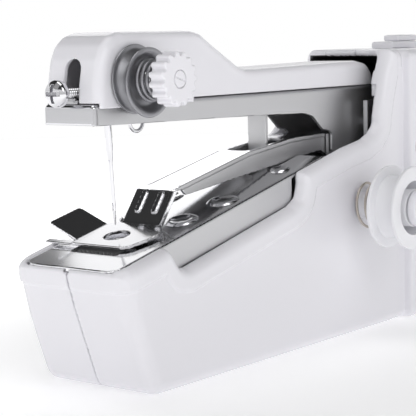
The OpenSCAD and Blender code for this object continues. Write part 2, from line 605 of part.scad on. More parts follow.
module idler_gear() color([0.9, 0.88, 0.8]) difference() {
    union() {
        spur(idler, idler_big, big_y, gear_w, to_motor);
        spur(idler, idler_small, big_y + gear_w - 0.1, small_y - big_y + 0.1,
            to_idler + 180 + 180 / idler_small);
    }
    bar(idler, 1.2 + fit, 0, 30);
}
module motor_pinion() color([0.75, 0.7, 0.55]) union() {
    spur(motor, pinion_teeth, big_y, gear_w, to_motor + 180 + 180 / pinion_teeth);
    bar(motor, 1, 6.2, big_y + gear_w + 0.5);
}

// ---- bobbin, button and cover ----
module bobbin() color([0.94, 0.94, 0.96]) translate([spindle[0], -bobbin_y, spindle[1]]) rotate([90, 0, 0])
    rotate_extrude() polygon([[spindle_r + fit, 0], [bobbin_d / 2, 0], [bobbin_d / 2, 0.9], [barrel_d / 2, 0.9],
        [barrel_d / 2, bobbin_w - 0.9], [bobbin_d / 2, bobbin_w - 0.9], [bobbin_d / 2, bobbin_w],
        [barrel_d / 2 - 1.2, bobbin_w], [barrel_d / 2 - 1.2, 1.8], [4.6, 1.8], [4.6, bobbin_w],
        [spindle_r + fit, bobbin_w]]);
module power_button() color([0.93, 0.92, 0.95]) union() {
    box([pad_x0 + 5, -2.5, pad_top + 0.05], [pad_x0 + 15, 2.5, pad_top + 1.8]);
    box([pad_x0 + 10, -1.2, 63], [pad_x0 + 13, 1.2, pad_top + 0.5]);
}
module battery_cover() color([0.93, 0.92, 0.95]) intersection() {
    prism(0.2 - cover_half, cover_half - 0.2) difference() {
        side_outline();
        offset(delta = -wall) side_outline();
    }
    linear_extrude(cover_h - 0.2) plan_outline();
    box([cover_x + 0.2, -big, -1], [tail_x + 5, big, big]);
}

near_shell();
far_shell();
needle_plate();
plate_bosses();
foot_bracket();
foot_pin();
foot_spring();
gear_frame();
arm_pivot_shaft();
idler_shaft();
motor();
looper_bracket();
bobbin_spindle();
spindle_spring();
battery_tray();
batteries();
battery_contacts();
power_inlet();
switch_pad();
switch_body();
shell_screws();
arm_channel();
arm_cover();
needle_clamp();
needle();
tension_stud();
rear_tension_disc();
front_tension_disc();
tension_spring();
thread_guide();
drive_strap();
tail_pin();
clamp_screw();
tension_knob();
connecting_rod();
presser_foot();
feed_dog();
looper_shaft();
looper_hook();
crank_shaft();
crank_gear();
hand_wheel();
idler_gear();
motor_pinion();
bobbin();
spindle_cap();
power_button();
battery_cover();
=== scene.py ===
"""Looks of a handheld sewing machine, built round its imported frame.

Every piece is laid out in millimetres in the machine's own frame: X runs from the nose to the rear, Y
towards the hand wheel, Z up, with the origin under the needle on the resting plane. Rounded pieces are
meshed from a distance function, turned ones from a profile, and wires are swept along a path.
"""
import json
import math

import bmesh
import bpy
import numpy as np
from bpy.props import FloatProperty, FloatVectorProperty, PointerProperty
from mathutils import Matrix, Vector

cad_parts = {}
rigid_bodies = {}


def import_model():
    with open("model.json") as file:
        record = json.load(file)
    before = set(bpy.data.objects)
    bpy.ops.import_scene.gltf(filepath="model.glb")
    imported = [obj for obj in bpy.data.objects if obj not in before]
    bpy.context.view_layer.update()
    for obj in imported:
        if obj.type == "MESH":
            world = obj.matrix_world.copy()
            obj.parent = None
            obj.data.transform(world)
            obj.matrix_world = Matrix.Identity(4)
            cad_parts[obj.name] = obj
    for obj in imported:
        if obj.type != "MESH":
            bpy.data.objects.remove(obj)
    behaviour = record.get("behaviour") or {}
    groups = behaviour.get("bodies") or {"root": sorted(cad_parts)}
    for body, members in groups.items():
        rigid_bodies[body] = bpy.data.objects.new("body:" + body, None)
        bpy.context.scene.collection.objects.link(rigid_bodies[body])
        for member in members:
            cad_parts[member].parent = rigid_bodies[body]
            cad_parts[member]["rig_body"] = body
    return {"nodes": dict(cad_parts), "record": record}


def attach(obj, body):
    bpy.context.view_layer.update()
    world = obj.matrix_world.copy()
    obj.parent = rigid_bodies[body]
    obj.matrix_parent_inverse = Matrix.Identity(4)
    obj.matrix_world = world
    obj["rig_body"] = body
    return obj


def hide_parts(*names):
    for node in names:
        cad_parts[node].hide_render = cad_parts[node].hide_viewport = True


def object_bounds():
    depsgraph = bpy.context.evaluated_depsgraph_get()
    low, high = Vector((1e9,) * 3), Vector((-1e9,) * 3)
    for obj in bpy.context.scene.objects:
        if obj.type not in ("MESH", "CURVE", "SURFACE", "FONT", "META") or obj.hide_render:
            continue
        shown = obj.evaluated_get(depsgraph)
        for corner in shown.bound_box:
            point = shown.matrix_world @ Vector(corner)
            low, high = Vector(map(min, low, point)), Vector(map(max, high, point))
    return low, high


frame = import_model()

bl_info = {
    "name": "Handheld sewing machine",
    "version": (1, 0, 0),
    "blender": (4, 5, 0),
    "location": "3D View > Sidebar > Sewing machine",
    "description": "Builds the visible pieces of a handheld sewing machine round its frame",
    "category": "Add Mesh",
}

MM = 0.001
CAD_BOX = [list(corner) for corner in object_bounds()]
FINE = 1.0


# ---- distance functions: millimetres, negative inside ----
def outline(u, v, points):
    """Distance from (u, v) to a closed outline of points."""
    nearest = None
    inside = False
    for (au, av), (bu, bv) in zip(points, points[1:] + points[:1]):
        eu, ev = bu - au, bv - av
        wu, wv = u - au, v - av
        t = np.clip((wu * eu + wv * ev) / (eu * eu + ev * ev), 0, 1)
        gap = (wu - eu * t) ** 2 + (wv - ev * t) ** 2
        nearest = gap if nearest is None else np.minimum(nearest, gap)
        if ev:
            inside = inside ^ (((av > v) != (bv > v)) & (u < eu * (v - av) / ev + au))
    return np.where(inside, -1.0, 1.0) * np.sqrt(nearest)


def rounded(corners, steps=4):
    """An outline's points from corners (u, v, radius), each corner turned by an arc."""
    made = []
    for i, (u, v, radius) in enumerate(corners):
        here = Vector((u, v))
        before = Vector(corners[i - 1][:2]) - here
        after = Vector(corners[(i + 1) % len(corners)][:2]) - here
        half = before.angle(after) / 2
        reach = min(radius / max(math.tan(half), 1e-3), 0.49 * before.length, 0.49 * after.length)
        if reach < 0.02:
            made.append((u, v))
            continue
        a, b = before.normalized() * reach, after.normalized() * reach
        for k in range(steps + 1):
            t = k / steps
            made.append(tuple(here + a * (1 - t) ** 2 + b * t * t))
    return made


def both(a, b, radius=0.0):
    """Where a and b overlap, with the edge between them rounded."""
    if not radius:
        return np.maximum(a, b)
    corner = np.hypot(np.maximum(radius + a, 0), np.maximum(radius + b, 0))
    return np.minimum(-radius, np.maximum(a, b)) + corner


def either(a, b, radius=0.0):
    """a and b together, with a fillet where they meet."""
    return -both(-a, -b, radius)


def cut(a, b, radius=0.0):
    """a without b, with the edge between them rounded."""
    return both(a, -b, radius)


def block(x, y, z, low, high, radius=0.0):
    """A box from one corner to the other, with rounded edges."""
    parts = [np.abs(p - (l + h) / 2) - (h - l) / 2 for p, l, h in zip((x, y, z), low, high)]
    return both(both(parts[0], parts[1], radius), parts[2], radius)


def slab(p, low, high):
    """The space between two parallel planes."""
    return np.abs(p - (low + high) / 2) - (high - low) / 2


def rod(u, v, at, radius):
    """An endless round bar through at."""
    return np.hypot(u - at[0], v - at[1]) - radius


# ---- meshes ----
def read(items, name, width=3, kind=np.float32):
    """That property of every item, one row for each."""
    values = np.zeros(len(items) * width, kind)
    items.foreach_get(name, values)
    return values.reshape(-1, width)


def finish_piece(mesh, node, slot):
    """Makes a piece of a mesh in millimetres, with the slot's finish, that rides in the node's place."""
    mesh.transform(Matrix.Scale(MM, 4))
    mesh.materials.append(finish(slot))
    piece = bpy.data.objects.new(mesh.name, mesh)
    bpy.context.scene.collection.objects.link(piece)
    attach(piece, frame["nodes"][node]["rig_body"])
    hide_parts(node)
    return piece


def refinish(piece, slot, chosen):
    """Gives another slot's finish to the faces where chosen(x, y, z, normal) holds, in millimetres."""
    piece.data.materials.append(finish(slot))
    faces = piece.data.polygons
    at, normal = read(faces, "center"), read(faces, "normal")
    index = read(faces, "material_index", 1, np.int32).ravel()
    index[chosen(*(at.T / MM), normal.T)] = len(piece.data.materials) - 1
    faces.foreach_set("material_index", index)


def gradient(shape, points, here, step=0.01):
    """The distance function's slope at each point, where its value is here."""
    slopes = []
    for axis in range(3):
        ahead = points.copy()
        ahead[:, axis] += step
        slopes.append((shape(*ahead.T) - here) / step)
    return np.stack(slopes, 1)


def settled(shape, points, reach):
    """Points moved onto the surface, by reach at most, and the slope where they were."""
    here = shape(*points.T)
    slope = gradient(shape, points, here)
    length = np.maximum(np.linalg.norm(slope, axis=1), 0.3)[:, None]
    return points - slope / length * np.clip(here[:, None] / length, -reach, reach), slope


def facing(shape, mesh, points, reach):
    """The slope at each face's corners, read a little way inside the face, so that flat faces stay flat."""
    corners = read(mesh.loops, "vertex_index", 1, np.int32).ravel()
    sizes = read(mesh.polygons, "loop_total", 1, np.int32).ravel()
    starts = np.concatenate(([0], np.cumsum(sizes)[:-1]))
    at = points[corners]
    inward = np.repeat(np.add.reduceat(at, starts) / sizes[:, None], sizes, axis=0) - at
    far = np.linalg.norm(inward, axis=1)[:, None] + 1e-9
    at = at + inward * np.minimum(0.6, reach / far)
    slope = gradient(shape, at, shape(*at.T))
    return slope / (np.linalg.norm(slope, axis=1)[:, None] + 1e-9)


def skin(name, shape, low, high, pitch, keep=1.0, flat=False):
    """Meshes the surface of shape(x, y, z) between two corners, in cells of that pitch.

    keep thins the faces, and flat shades a mirror-like piece so its flat faces stay flat up to their edges.
    """
    pitch = pitch * FINE
    low = np.array(low, float) - 1.5 * pitch
    count = np.ceil((np.array(high) - low) / pitch).astype(int) + 3
    x, y, z = ((low[i] + pitch * np.arange(count[i])).astype(np.float32) for i in range(3))
    field = np.broadcast_to(shape(x[:, None, None], y[None, :, None], z[None, None, :]), count)
    solid = field < 0
    total = np.zeros(count - 1, np.int8)
    for i, j, k in np.ndindex(2, 2, 2):
        total += solid[i:count[0] - 1 + i, j:count[1] - 1 + j, k:count[2] - 1 + k]
    cells = np.argwhere((total > 0) & (total < 8))
    index = np.full(count - 1, -1, np.int64)
    index[tuple(cells.T)] = np.arange(len(cells))
    summed, crossed = np.zeros((len(cells), 3)), np.zeros(len(cells))
    for axis in range(3):
        others = [a for a in range(3) if a != axis]
        for corner in np.ndindex(2, 2):
            start = np.zeros(3, int)
            start[others] = corner
            end = start.copy()
            end[axis] = 1
            a, b = field[tuple((cells + start).T)], field[tuple((cells + end).T)]
            hit = (a < 0) != (b < 0)
            t = np.where(hit, a / np.where(hit, a - b, 1), 0)
            summed += np.where(hit[:, None], start + t[:, None] * (end - start), 0)
            crossed += hit
    points = low + pitch * (cells + summed / crossed[:, None])
    quads = []
    for axis in range(3):
        u, v = (axis + 1) % 3, (axis + 2) % 3
        here = np.moveaxis(solid, (axis, u, v), (0, 1, 2))
        cell = np.moveaxis(index, (axis, u, v), (0, 1, 2))
        turn = here[:-1, 1:-1, 1:-1].astype(np.int8) - here[1:, 1:-1, 1:-1]
        for sign in (1, -1):
            i, j, k = np.nonzero(turn == sign)
            ring = [cell[i, j, k], cell[i, j + 1, k], cell[i, j + 1, k + 1], cell[i, j, k + 1]]
            quads.append(np.stack(ring[::sign], 1))
    quads = np.concatenate(quads)
    mesh = bpy.data.meshes.new(name)
    points, _ = settled(shape, points, pitch)
    mesh.from_pydata(points.tolist(), [], quads.tolist())
    if keep < 1:
        mesh = thinned(mesh, keep)
        points = read(mesh.vertices, "co").astype(float)
    points, _ = settled(shape, points, pitch * 0.5)
    mesh.vertices.foreach_set("co", points.astype(np.float32).ravel())
    mesh.shade_smooth()
    if flat:
        mesh.normals_split_custom_set(facing(shape, mesh, points, pitch).tolist())
    else:
        mesh.normals_split_custom_set_from_vertices(gradient(shape, points, shape(*points.T)).tolist())
    return mesh


def thinned(mesh, keep):
    """The mesh with only that share of its faces, kept where it curves."""
    holder = bpy.data.objects.new("thinning", mesh)
    bpy.context.scene.collection.objects.link(holder)
    fewer = holder.modifiers.new("fewer", "DECIMATE")
    fewer.ratio = keep
    made = bpy.data.meshes.new_from_object(holder.evaluated_get(bpy.context.evaluated_depsgraph_get()))
    name = mesh.name
    bpy.data.objects.remove(holder)
    bpy.data.meshes.remove(mesh)  # so that its name is free for the thinned one
    made.name = name
    return made


def lathe(name, parts, sides=96):
    """Turns closed profiles [(radius, along)]. parts holds (profile, centre, axis) for each."""
    form = bmesh.new()
    for profile, centre, axis in parts:
        turn = Vector(axis).to_track_quat("Z", "Y")
        rings = []
        for radius, along in profile:
            if radius < 1e-6:
                rings.append([form.verts.new(turn @ Vector((0, 0, along)) + Vector(centre))] * sides)
                continue
            ring = []
            for s in range(sides):
                a = math.tau * s / sides
                spot = Vector((radius * math.cos(a), radius * math.sin(a), along))
                ring.append(form.verts.new(turn @ spot + Vector(centre)))
            rings.append(ring)
        for inner, outer in zip(rings, rings[1:] + rings[:1]):
            for s in range(sides):
                corners = [inner[s], inner[(s + 1) % sides], outer[(s + 1) % sides], outer[s]]
                corners = list(dict.fromkeys(corners))
                if len(corners) > 2:
                    form.faces.new(corners)
    return closed(form, name)


def wire(name, paths, radius, sides=12):
    """Sweeps a round wire along each list of points."""
    form = bmesh.new()
    for path in paths:
        points = [Vector(p) for p in path]
        side = (points[1] - points[0]).orthogonal().normalized()
        rings = []
        for i, point in enumerate(points):
            along = (points[min(i + 1, len(points) - 1)] - points[max(i - 1, 0)]).normalized()
            side = (side - along * side.dot(along)).normalized()
            other = along.cross(side)
            turns = [math.tau * s / sides for s in range(sides)]
            spots = [point + (side * math.cos(a) + other * math.sin(a)) * radius for a in turns]
            rings.append([form.verts.new(spot) for spot in spots])
        for a, b in zip(rings, rings[1:]):
            for s in range(sides):
                form.faces.new((a[s], a[(s + 1) % sides], b[(s + 1) % sides], b[s]))
        form.faces.new(rings[0][::-1])
        form.faces.new(rings[-1])
    return closed(form, name)


def closed(form, name):
    """Turns a bmesh into a smooth mesh whose hard edges stay sharp."""
    bmesh.ops.recalc_face_normals(form, faces=form.faces)
    for edge in form.edges:
        edge.smooth = len(edge.link_faces) == 2 and edge.calc_face_angle(0) < math.radians(40)
    for face in form.faces:
        face.smooth = True
    mesh = bpy.data.meshes.new(name)
    form.to_mesh(mesh)
    form.free()
    return mesh


def arc(centre, radius, start, end, steps):
    """Points (u, v) on an arc, its angles in degrees."""
    angles = [math.radians(start + (end - start) * i / steps) for i in range(steps + 1)]
    return [(centre[0] + radius * math.cos(a), centre[1] + radius * math.sin(a)) for a in angles]


# ---- finishes ----
WAVE_SCALE = 0.11  # waves per millimetre in a pressed sheet


def feed(tree, node, values):
    """Sets each of those inputs to its value, or links it from a socket."""
    for name, value in values.items():
        if isinstance(value, bpy.types.NodeSocket):
            tree.links.new(value, node.inputs[name])
        else:
            node.inputs[name].default_value = value


def shader(tree, kind, values=None):
    """A new shader node with those inputs."""
    node = tree.nodes.new("ShaderNode" + kind)
    feed(tree, node, values or {})
    return node


def finish_nodes(name):
    """An empty Principled material with the object's own coordinates, in millimetres."""
    material = bpy.data.materials.new(name)
    material.use_nodes = True
    tree = material.node_tree
    tree.nodes.clear()
    out = shader(tree, "OutputMaterial")
    surface = shader(tree, "BsdfPrincipled")
    feed(tree, out, {"Surface": surface.outputs["BSDF"]})
    place = shader(tree, "TexCoord")
    spread = shader(tree, "Mapping", {"Vector": place.outputs["Object"]})
    return material, tree, surface, spread


def textured(tree, spread, scale, stretch, detail=4.0):
    """Noise of scale per millimetre, drawn out along the axes by stretch."""
    spread.inputs["Scale"].default_value = [1 / MM / s for s in stretch]
    noise = shader(tree, "TexNoise", {
        "Scale": scale, "Detail": detail, "Roughness": 0.6, "Vector": spread.outputs["Vector"]})
    return noise.outputs["Fac"]


def ranged(tree, value, low, high):
    """value, taken from its middle range to low..high."""
    fit = shader(tree, "MapRange", {
        "From Min": 0.3, "From Max": 0.7, "To Min": low, "To Max": high, "Value": value})
    return fit.outputs["Result"]


def tinted(tree, value, colour, shade):
    """A colour that varies with value, down to shade times itself."""
    ramp = shader(tree, "ValToRGB", {"Fac": value})
    dark, full = ramp.color_ramp.elements
    dark.position, full.position = 0.35, 0.65
    dark.color, full.color = [c * shade for c in colour] + [1], [*colour, 1]
    return ramp.outputs["Color"]


def bumped(tree, node, value, depth, strength):
    """Feeds the node a normal raised by value, to a depth in millimetres."""
    bump = shader(tree, "Bump", {"Distance": depth * MM, "Strength": strength, "Height": value})
    feed(tree, node, {"Normal": bump.outputs["Normal"]})
    return bump


def moulded(name, colour, roughness, coat=0.0, grain=2.5, depth=0.01, shade=0.98, glow=0.0):
    """Moulded plastic: a fine moulded grain under a varying gloss."""
    material, tree, surface, spread = finish_nodes(name)
    fine = textured(tree, spread, grain, (1, 1, 1))
    feed(tree, surface, {
        "Base Color": tinted(tree, fine, colour, shade),
        "Roughness": ranged(tree, fine, roughness * 0.9, roughness * 1.12),
        "IOR": 1.5, "Coat Weight": coat, "Coat Roughness": 0.08,
        "Subsurface Weight": glow, "Subsurface Scale": 1.5 * MM})
    bumped(tree, surface, fine, depth, 0.5)
    return material


def metal(name, colour, roughness, grain=3.0, stretch=(1, 1, 1), depth=0.004, shade=0.9, vary=0.3, wave=0):
    """Bare metal with a grain drawn out by stretch, on a sheet that by wave isn't quite flat."""
    material, tree, surface, spread = finish_nodes(name)
    lines = textured(tree, spread, grain, stretch, 6.0)
    feed(tree, surface, {
        "Base Color": tinted(tree, lines, colour, shade), "Metallic": 1.0,
        "Roughness": ranged(tree, lines, roughness * (1 - vary), roughness * (1 + vary))})
    bump = bumped(tree, surface, lines, depth, 0.6)
    if wave:
        place = spread.inputs["Vector"].links[0].from_socket
        wide = shader(tree, "Mapping", {"Scale": [1 / MM] * 3, "Vector": place})
        sheet = shader(tree, "TexNoise", {
            "Scale": WAVE_SCALE, "Detail": 1.5, "Vector": wide.outputs["Vector"]})
        bumped(tree, bump, sheet.outputs["Fac"], wave, 1.0)
    return material


class MachineFinishes(bpy.types.PropertyGroup):
    """Colours of the machine's finishes"""

    plastic: FloatVectorProperty(
        name="Plastic", description="Colour of the white plastic", subtype="COLOR",
        default=(0.80, 0.785, 0.83))
    steel: FloatVectorProperty(
        name="Steel", description="Colour of the bare steel", subtype="COLOR", default=(0.42, 0.42, 0.43))
    chrome: FloatVectorProperty(
        name="Chrome", description="Colour of the polished plates", subtype="COLOR",
        default=(0.74, 0.74, 0.76))
    gloss: FloatProperty(
        name="Plastic roughness", description="Roughness of the white plastic", subtype="FACTOR",
        default=0.26, min=0.02, max=1)


class MachineSizes(bpy.types.PropertyGroup):
    """Sizes that only the looks have"""

    edge: FloatProperty(
        name="Edge", description="Radius of the body's outer edges", unit="LENGTH",
        default=0.003, min=0.001, max=0.004)
    seam: FloatProperty(
        name="Seam", description="Gap between the two body shells", unit="LENGTH",
        default=0.00016, min=0.00005, max=0.0004)
    cover_edge: FloatProperty(
        name="Arm cover edge", description="Radius of the arm cover's long edges", unit="LENGTH",
        default=0.0022, min=0.0005, max=0.003)


def finish(name):
    """The finish of that name, made when it is first asked for."""
    made = bpy.data.materials.get(name)
    if made:
        return made
    looks = bpy.context.scene.machine_finishes
    plastic, steel, chrome = list(looks.plastic), list(looks.steel), list(looks.chrome)
    darker = [0.8 * c for c in steel]
    makers = {
        "white_plastic": lambda: moulded(name, plastic, looks.gloss, coat=0.35, glow=0.05),
        "bobbin_plastic": lambda: moulded(name, plastic, 0.3, coat=0.1, glow=0.15),
        "polished_plate": lambda: metal(name, chrome, 0.09, 0.35, (4, 1, 1), 0.006, 0.92, 0.35, 1.3),
        "brushed_steel": lambda: metal(name, darker, 0.3, 2.2, (14, 1, 1), 0.008, 0.75, 0.3),
        "bright_steel": lambda: metal(name, chrome, 0.17, 2.0, (1, 1, 4), 0.003),
        "dark_spring": lambda: metal(name, (0.52, 0.515, 0.51), 0.06, 2.5, depth=0.002),
        "plain_steel": lambda: metal(name, steel, 0.3, 2.0, (1, 8, 1)),
        "screw_steel": lambda: metal(name, (0.36, 0.32, 0.27), 0.3, 2.5),
        "motor_can": lambda: metal(name, (0.5, 0.51, 0.53), 0.35, 1.5, (1, 8, 1)),
        "gear_nylon": lambda: moulded(name, (0.78, 0.74, 0.6), 0.42, grain=1.5, depth=0.02, glow=0.1),
        "pinion_brass": lambda: metal(name, (0.7, 0.52, 0.24), 0.25),
        "tray_plastic": lambda: moulded(name, (0.6, 0.6, 0.62), 0.4, grain=1.5, depth=0.02),
        "cell_wrap": lambda: moulded(name, (0.05, 0.07, 0.1), 0.3, coat=0.3, grain=0.8, shade=0.85),
        "contact_plate": lambda: metal(name, (0.72, 0.68, 0.56), 0.22),
        "black_plastic": lambda: moulded(name, (0.02, 0.02, 0.022), 0.38, grain=2.0, depth=0.02, shade=0.8),
    }
    return makers[name]()


# ---- where things are, in millimetres ----
BODY_HALF = 17.0
HOUSING_HALF = 18.5
GROOVE = (91.5, 95.0)
NOSE_X, TAIL_X, BODY_TOP = -16.8, 192.0, 71.0
MOUTH_X, MOUTH_HALF, MOUTH_FLOOR, MOUTH_TOP = 84.0, 12.0, 47.0, 69.2
WALL, GROOVE_DEPTH = 1.8, 0.8
INNER_HALF, REAR_INNER_HALF, INNER_STEP = 15.2, 16.7, 96.8  # the walls' inner faces, wider behind the step
RIM_HALF, RIM_DEPTH = 13.7, 7.5
PLATE_TILT = math.radians(13)
PLATE_SLOPE = math.tan(PLATE_TILT)
PLATE_Z = 31.3  # the plate's top under the needle
PLATE_FRONT, PLATE_END, PLATE_HALF, PLATE_THICK = -15.3, 62.0, 13.6, 0.97
TENSION = (-1.5, 66.7)
SPINDLE = (73.6, 32.6)
BOBBIN_Y = -24.4
CRANK = (114.0, 26.0)
FRAME_SCREW, FAR_SCREW = (100.5, 45.3), (24, 7)
SCREWS = (FRAME_SCREW, (178, 42), (126, 8), FAR_SCREW)
COVER_X, COVER_HALF, COVER_H = 132.0, 13.0, 12.0
PAD_X, PAD_HALF = 111.0, 3.4
NEEDLE_TILT = math.radians(4)
TIP = (0.2, 34.7)


def plate_plan(grown):
    """The needle plate's plan, larger by grown all round."""
    front, end, half = PLATE_FRONT - grown, PLATE_END + grown, PLATE_HALF + grown
    return rounded([(front, half, 4), (front, -half, 4), (end, -half, 0.5), (end, half, 0.5)])


STEP_PLAN, PLATE_PLAN = plate_plan(0.12), plate_plan(0)


def plate_top(x):
    """Height of the needle plate's top at x."""
    return PLATE_Z + PLATE_SLOPE * x


SIDE = rounded([
    (-6.6, 0, 4), (184, 0, 3), (189.5, 2.5, 3), (192, 8, 4), (192, 34, 4), (190.5, 43, 4), (186, 50, 5),
    (178, 55, 8), (150, 63.5, 20), (128, 70, 12), (120, 71, 8), (89.3, 71, 1), (88.6, 69.3, 4),
    (86.3, 64, 8), (84.6, 59, 8), (83.3, 54, 4), (83.2, 52, 2.5), (80.6, 49.9, 3),
    (77, 48.5, 5), (68, plate_top(68), 6),
    (49, plate_top(49), 1.2), (49, 40, 3), (48, 36.6, 3), (44.6, 34.9, 3), (5.6, 25.8, 2), (2.8, 26.2, 2),
    (0.6, 29.2, 2), (-1, plate_top(-1), 2.2), (NOSE_X, plate_top(NOSE_X), 1.2)])
# what is cut off the roof over the arm, in plan, and off the far wall's lower corner beside it, from the side
ROOF_FRONT = rounded([
    (70, -12.2, 0), (88.8, -12.2, 1), (93.3, -7, 4), (97.3, 0, 8), (99, 6, 6), (100, 12.2, 2),
    (101.5, 19, 0), (70, 19, 0)])
FAR_CORNER = rounded([
    (60, 63.8, 0), (84, 63.8, 2), (99, 67, 3), (100.6, 69, 1.5), (101.4, 80, 0), (60, 80, 0)])
BEAD_OUT, BEAD_H = 0.45, 4.7  # how far the bead round the rim stands out, and its height


def plan(inset):
    """The body's plan, its front part made smaller by inset."""
    half, nose = BODY_HALF - inset, NOSE_X + inset
    near = [
        (nose, -half, 7 - inset), (GROOVE[0], -half, 0.6), (GROOVE[0], GROOVE_DEPTH - BODY_HALF, 0.3),
        (GROOVE[1], GROOVE_DEPTH - BODY_HALF, 0.4), (GROOVE[1], -HOUSING_HALF, 0.8),
        (TAIL_X, -HOUSING_HALF, 10)]
    return rounded(near + [(x, -y, radius) for x, y, radius in near[::-1]], 6)


PLAN, CORE_PLAN = plan(0), plan(BEAD_OUT)
BEAD_AREA = [
    (-30, plate_top(-30) - BEAD_H), (-4.5, plate_top(-4.5) - BEAD_H), (-2, 18), (8, 17), (60, 28),
    (75, 36), (94, 45), (94, 80), (-30, 80)]
INNER_SIDE = [
    (NOSE_X + WALL, INNER_HALF, 2), (INNER_STEP, INNER_HALF, 0), (INNER_STEP, REAR_INNER_HALF, 0),
    (TAIL_X - WALL, REAR_INNER_HALF, 8.2)]
INNER_PLAN = rounded([(x, -y, r) for x, y, r in INNER_SIDE] + INNER_SIDE[::-1])
UNDER_RIMS = [
    (NOSE_X - 5, plate_top(NOSE_X) - RIM_DEPTH - 1), (70, plate_top(70) - RIM_DEPTH), (83, 45), (83, 90),
    (NOSE_X - 5, 90)]
RIM_OPENING = rounded([
    (-12.6, plate_top(-12.6) + 6, 0), (-12.6, plate_top(-12.6) - RIM_DEPTH - 3, 1), (80, 42, 1),
    (90, 45, 0), (90, 80, 0), (60, 90, 0)])


def body_solid(x, y, z, sizes):
    """The two shells' outside, as one solid."""
    edge = sizes.edge / MM
    side = outline(x, z, SIDE)
    body = both(side, outline(x, y, CORE_PLAN), edge)
    near_rim = both(-BEAD_H - side, outline(x, z, BEAD_AREA))
    bead = both(both(side, outline(x, y, PLAN), 0.75 * edge), near_rim, 0.35)
    return either(body, bead, 0.6), side


def shell(x, y, z, sizes, hand):
    """One body shell: hand is -1 for the near one and 1 for the far one."""
    body, side = body_solid(x, y, z, sizes)
    inner = both(both(side + WALL, outline(x, y, INNER_PLAN), 1.5), -outline(x, z, UNDER_RIMS))
    opening = both(outline(x, z, RIM_OPENING), np.abs(y) - RIM_HALF, 0.4)
    opening = both(opening, both(x - (MOUTH_X + 2), z - 62))
    step = both(outline(x, y, STEP_PLAN), both(plate_top(x) - 1 - z, x))
    low, high = (MOUTH_X - 30, -MOUTH_HALF, MOUTH_FLOOR - 2), (MOUTH_X + 30, MOUTH_HALF, MOUTH_TOP)
    mouth = block(x, y, z, low, high, 0.8)
    made = cut(body, mouth, 0.9)
    made = cut(made, both(outline(x, y, ROOF_FRONT), 66 - z), 0.9)
    made = cut(made, both(outline(x, z, FAR_CORNER), MOUTH_HALF - 0.5 - y), 0.9)
    made = cut(made, opening, 0.6)
    made = cut(made, step, 0.25)
    made = np.maximum(made, -inner)
    hatch = either(z - WALL - 0.1, both(z - COVER_H, TAIL_X - 9 - x))
    hatch = both(both(np.abs(y) - COVER_HALF, COVER_X - x, 1.5), hatch)
    made = cut(made, hatch, 0.3)
    made = cut(made, block(x, y, z, (PAD_X + 7, -2.2, 60), (PAD_X + 19, 2.2, 75)), 0.3)
    made = cut(made, both(rod(y, z, (0, 40), 4), 180 - x), 0.4)
    out = y * hand
    if hand < 0:
        boss = both(rod(x, z, SPINDLE, 5), slab(out, BODY_HALF - 5, BODY_HALF - 1))
        made = cut(either(made, boss, 0.5), rod(x, z, SPINDLE, 1.6))
    else:
        made = cut(made, rod(x, z, CRANK, 2.2), 0.3)
    for at in SCREWS:
        if at == FRAME_SCREW and hand > 0:
            continue
        face = BODY_HALF if at[0] < GROOVE[1] else HOUSING_HALF
        post = both(rod(x, z, at, 3), slab(out, 10.7 if at == FRAME_SCREW else 0, face - 1))
        made = either(made, post, 0.4)
        if (hand > 0) == (at == FAR_SCREW):
            made = cut(made, both(rod(x, z, at, 2.8), face - 1.2 - out), 0.35)
            made = cut(made, rod(x, z, at, 1.2))
        else:
            made = cut(made, both(rod(x, z, at, 0.9), out - face + 4))
    half_gap = sizes.seam / MM / 2  # the seam is wider and softer where it crosses the bead
    wide, narrow = both(made, 2 * half_gap - out, 0.5), both(made, half_gap - out, 0.24)
    return np.where(z > plate_top(x) - BEAD_H, wide, narrow)


class BodyShells(bpy.types.Operator):
    """Build the two shells of the body, which meet at a seam along the middle"""

    bl_idname = "machine.body_shells"
    bl_label = "Body shells"

    def execute(self, context):
        sizes = context.scene.machine_sizes
        for name, node, hand in (("near_body", "near_shell", -1), ("far_body", "far_shell", 1)):
            low = (NOSE_X, min(0, hand * HOUSING_HALF), 0)
            high = (TAIL_X, max(0, hand * HOUSING_HALF), BODY_TOP)
            mesh = skin(name, lambda x, y, z: shell(x, y, z, sizes, hand), low, high, 0.5, 0.4)
            # the inner walls behind the mouth get black plastic as painted shade, standing in for the shadow
            # inside the mouth
            refinish(finish_piece(mesh, node, "white_plastic"), "black_plastic", painted_shade_walls)
        return {"FINISHED"}


def painted_shade_walls(x, y, z, normal):
    """Whether a face lies on the body's inner walls behind the mouth, which are given black plastic as painted
    shade for the mouth's dark inside.
    """
    between = np.abs(y) < np.where(x < 96.5, 15.6, 16.8)
    behind = (x > MOUTH_X + 3) & (x < TAIL_X - 3) & (z < MOUTH_TOP + 0.2)
    return between & behind & (outline(x, z, SIDE) < -1.3)


# ---- arm ----
ARM_COVER = rounded([
    (-12.9, 58, 0), (-12.3, 66, 6), (-11.3, 71, 6), (-9.8, 74, 4), (-7.4, 75.9, 4), (-4.4, 76.7, 4),
    (19.5, 76.7, 6), (22.6, 76.1, 4), (25, 74.6, 4), (36.2, 68.5, 4), (39, 67.7, 4), (43, 67.6, 4),
    (87.2, 68.3, 4), (91.8, 67.5, 3), (94.4, 65, 3), (95.1, 58, 0)])
COVER_HALF_Y, COVER_FOOT, COVER_WALL = 7.9, 62.0, 1.3
CHANNEL_FRONT, WEB_TOP = -13.4, 61.8
CHANNEL = rounded([
    (CHANNEL_FRONT, 57.4, 0.4), (25, 56.8, 30), (46, 56.4, 30), (63, 55.9, 5), (66.5, 55, 3), (69, 53, 2.5),
    (71, 51.4, 1.5), (73.6, 51, 1), (75, 50.2, 0.8), (75, 45.6, 0.8), (88, 45, 1.5), (96, 47.6, 4),
    (118, 48.2, 2), (118, 56, 2), (100, 59.5, 8), (94.2, WEB_TOP, 1), (CHANNEL_FRONT, WEB_TOP, 0)])
ARM_HALF, ARM_SHEET = 7.2, 0.8
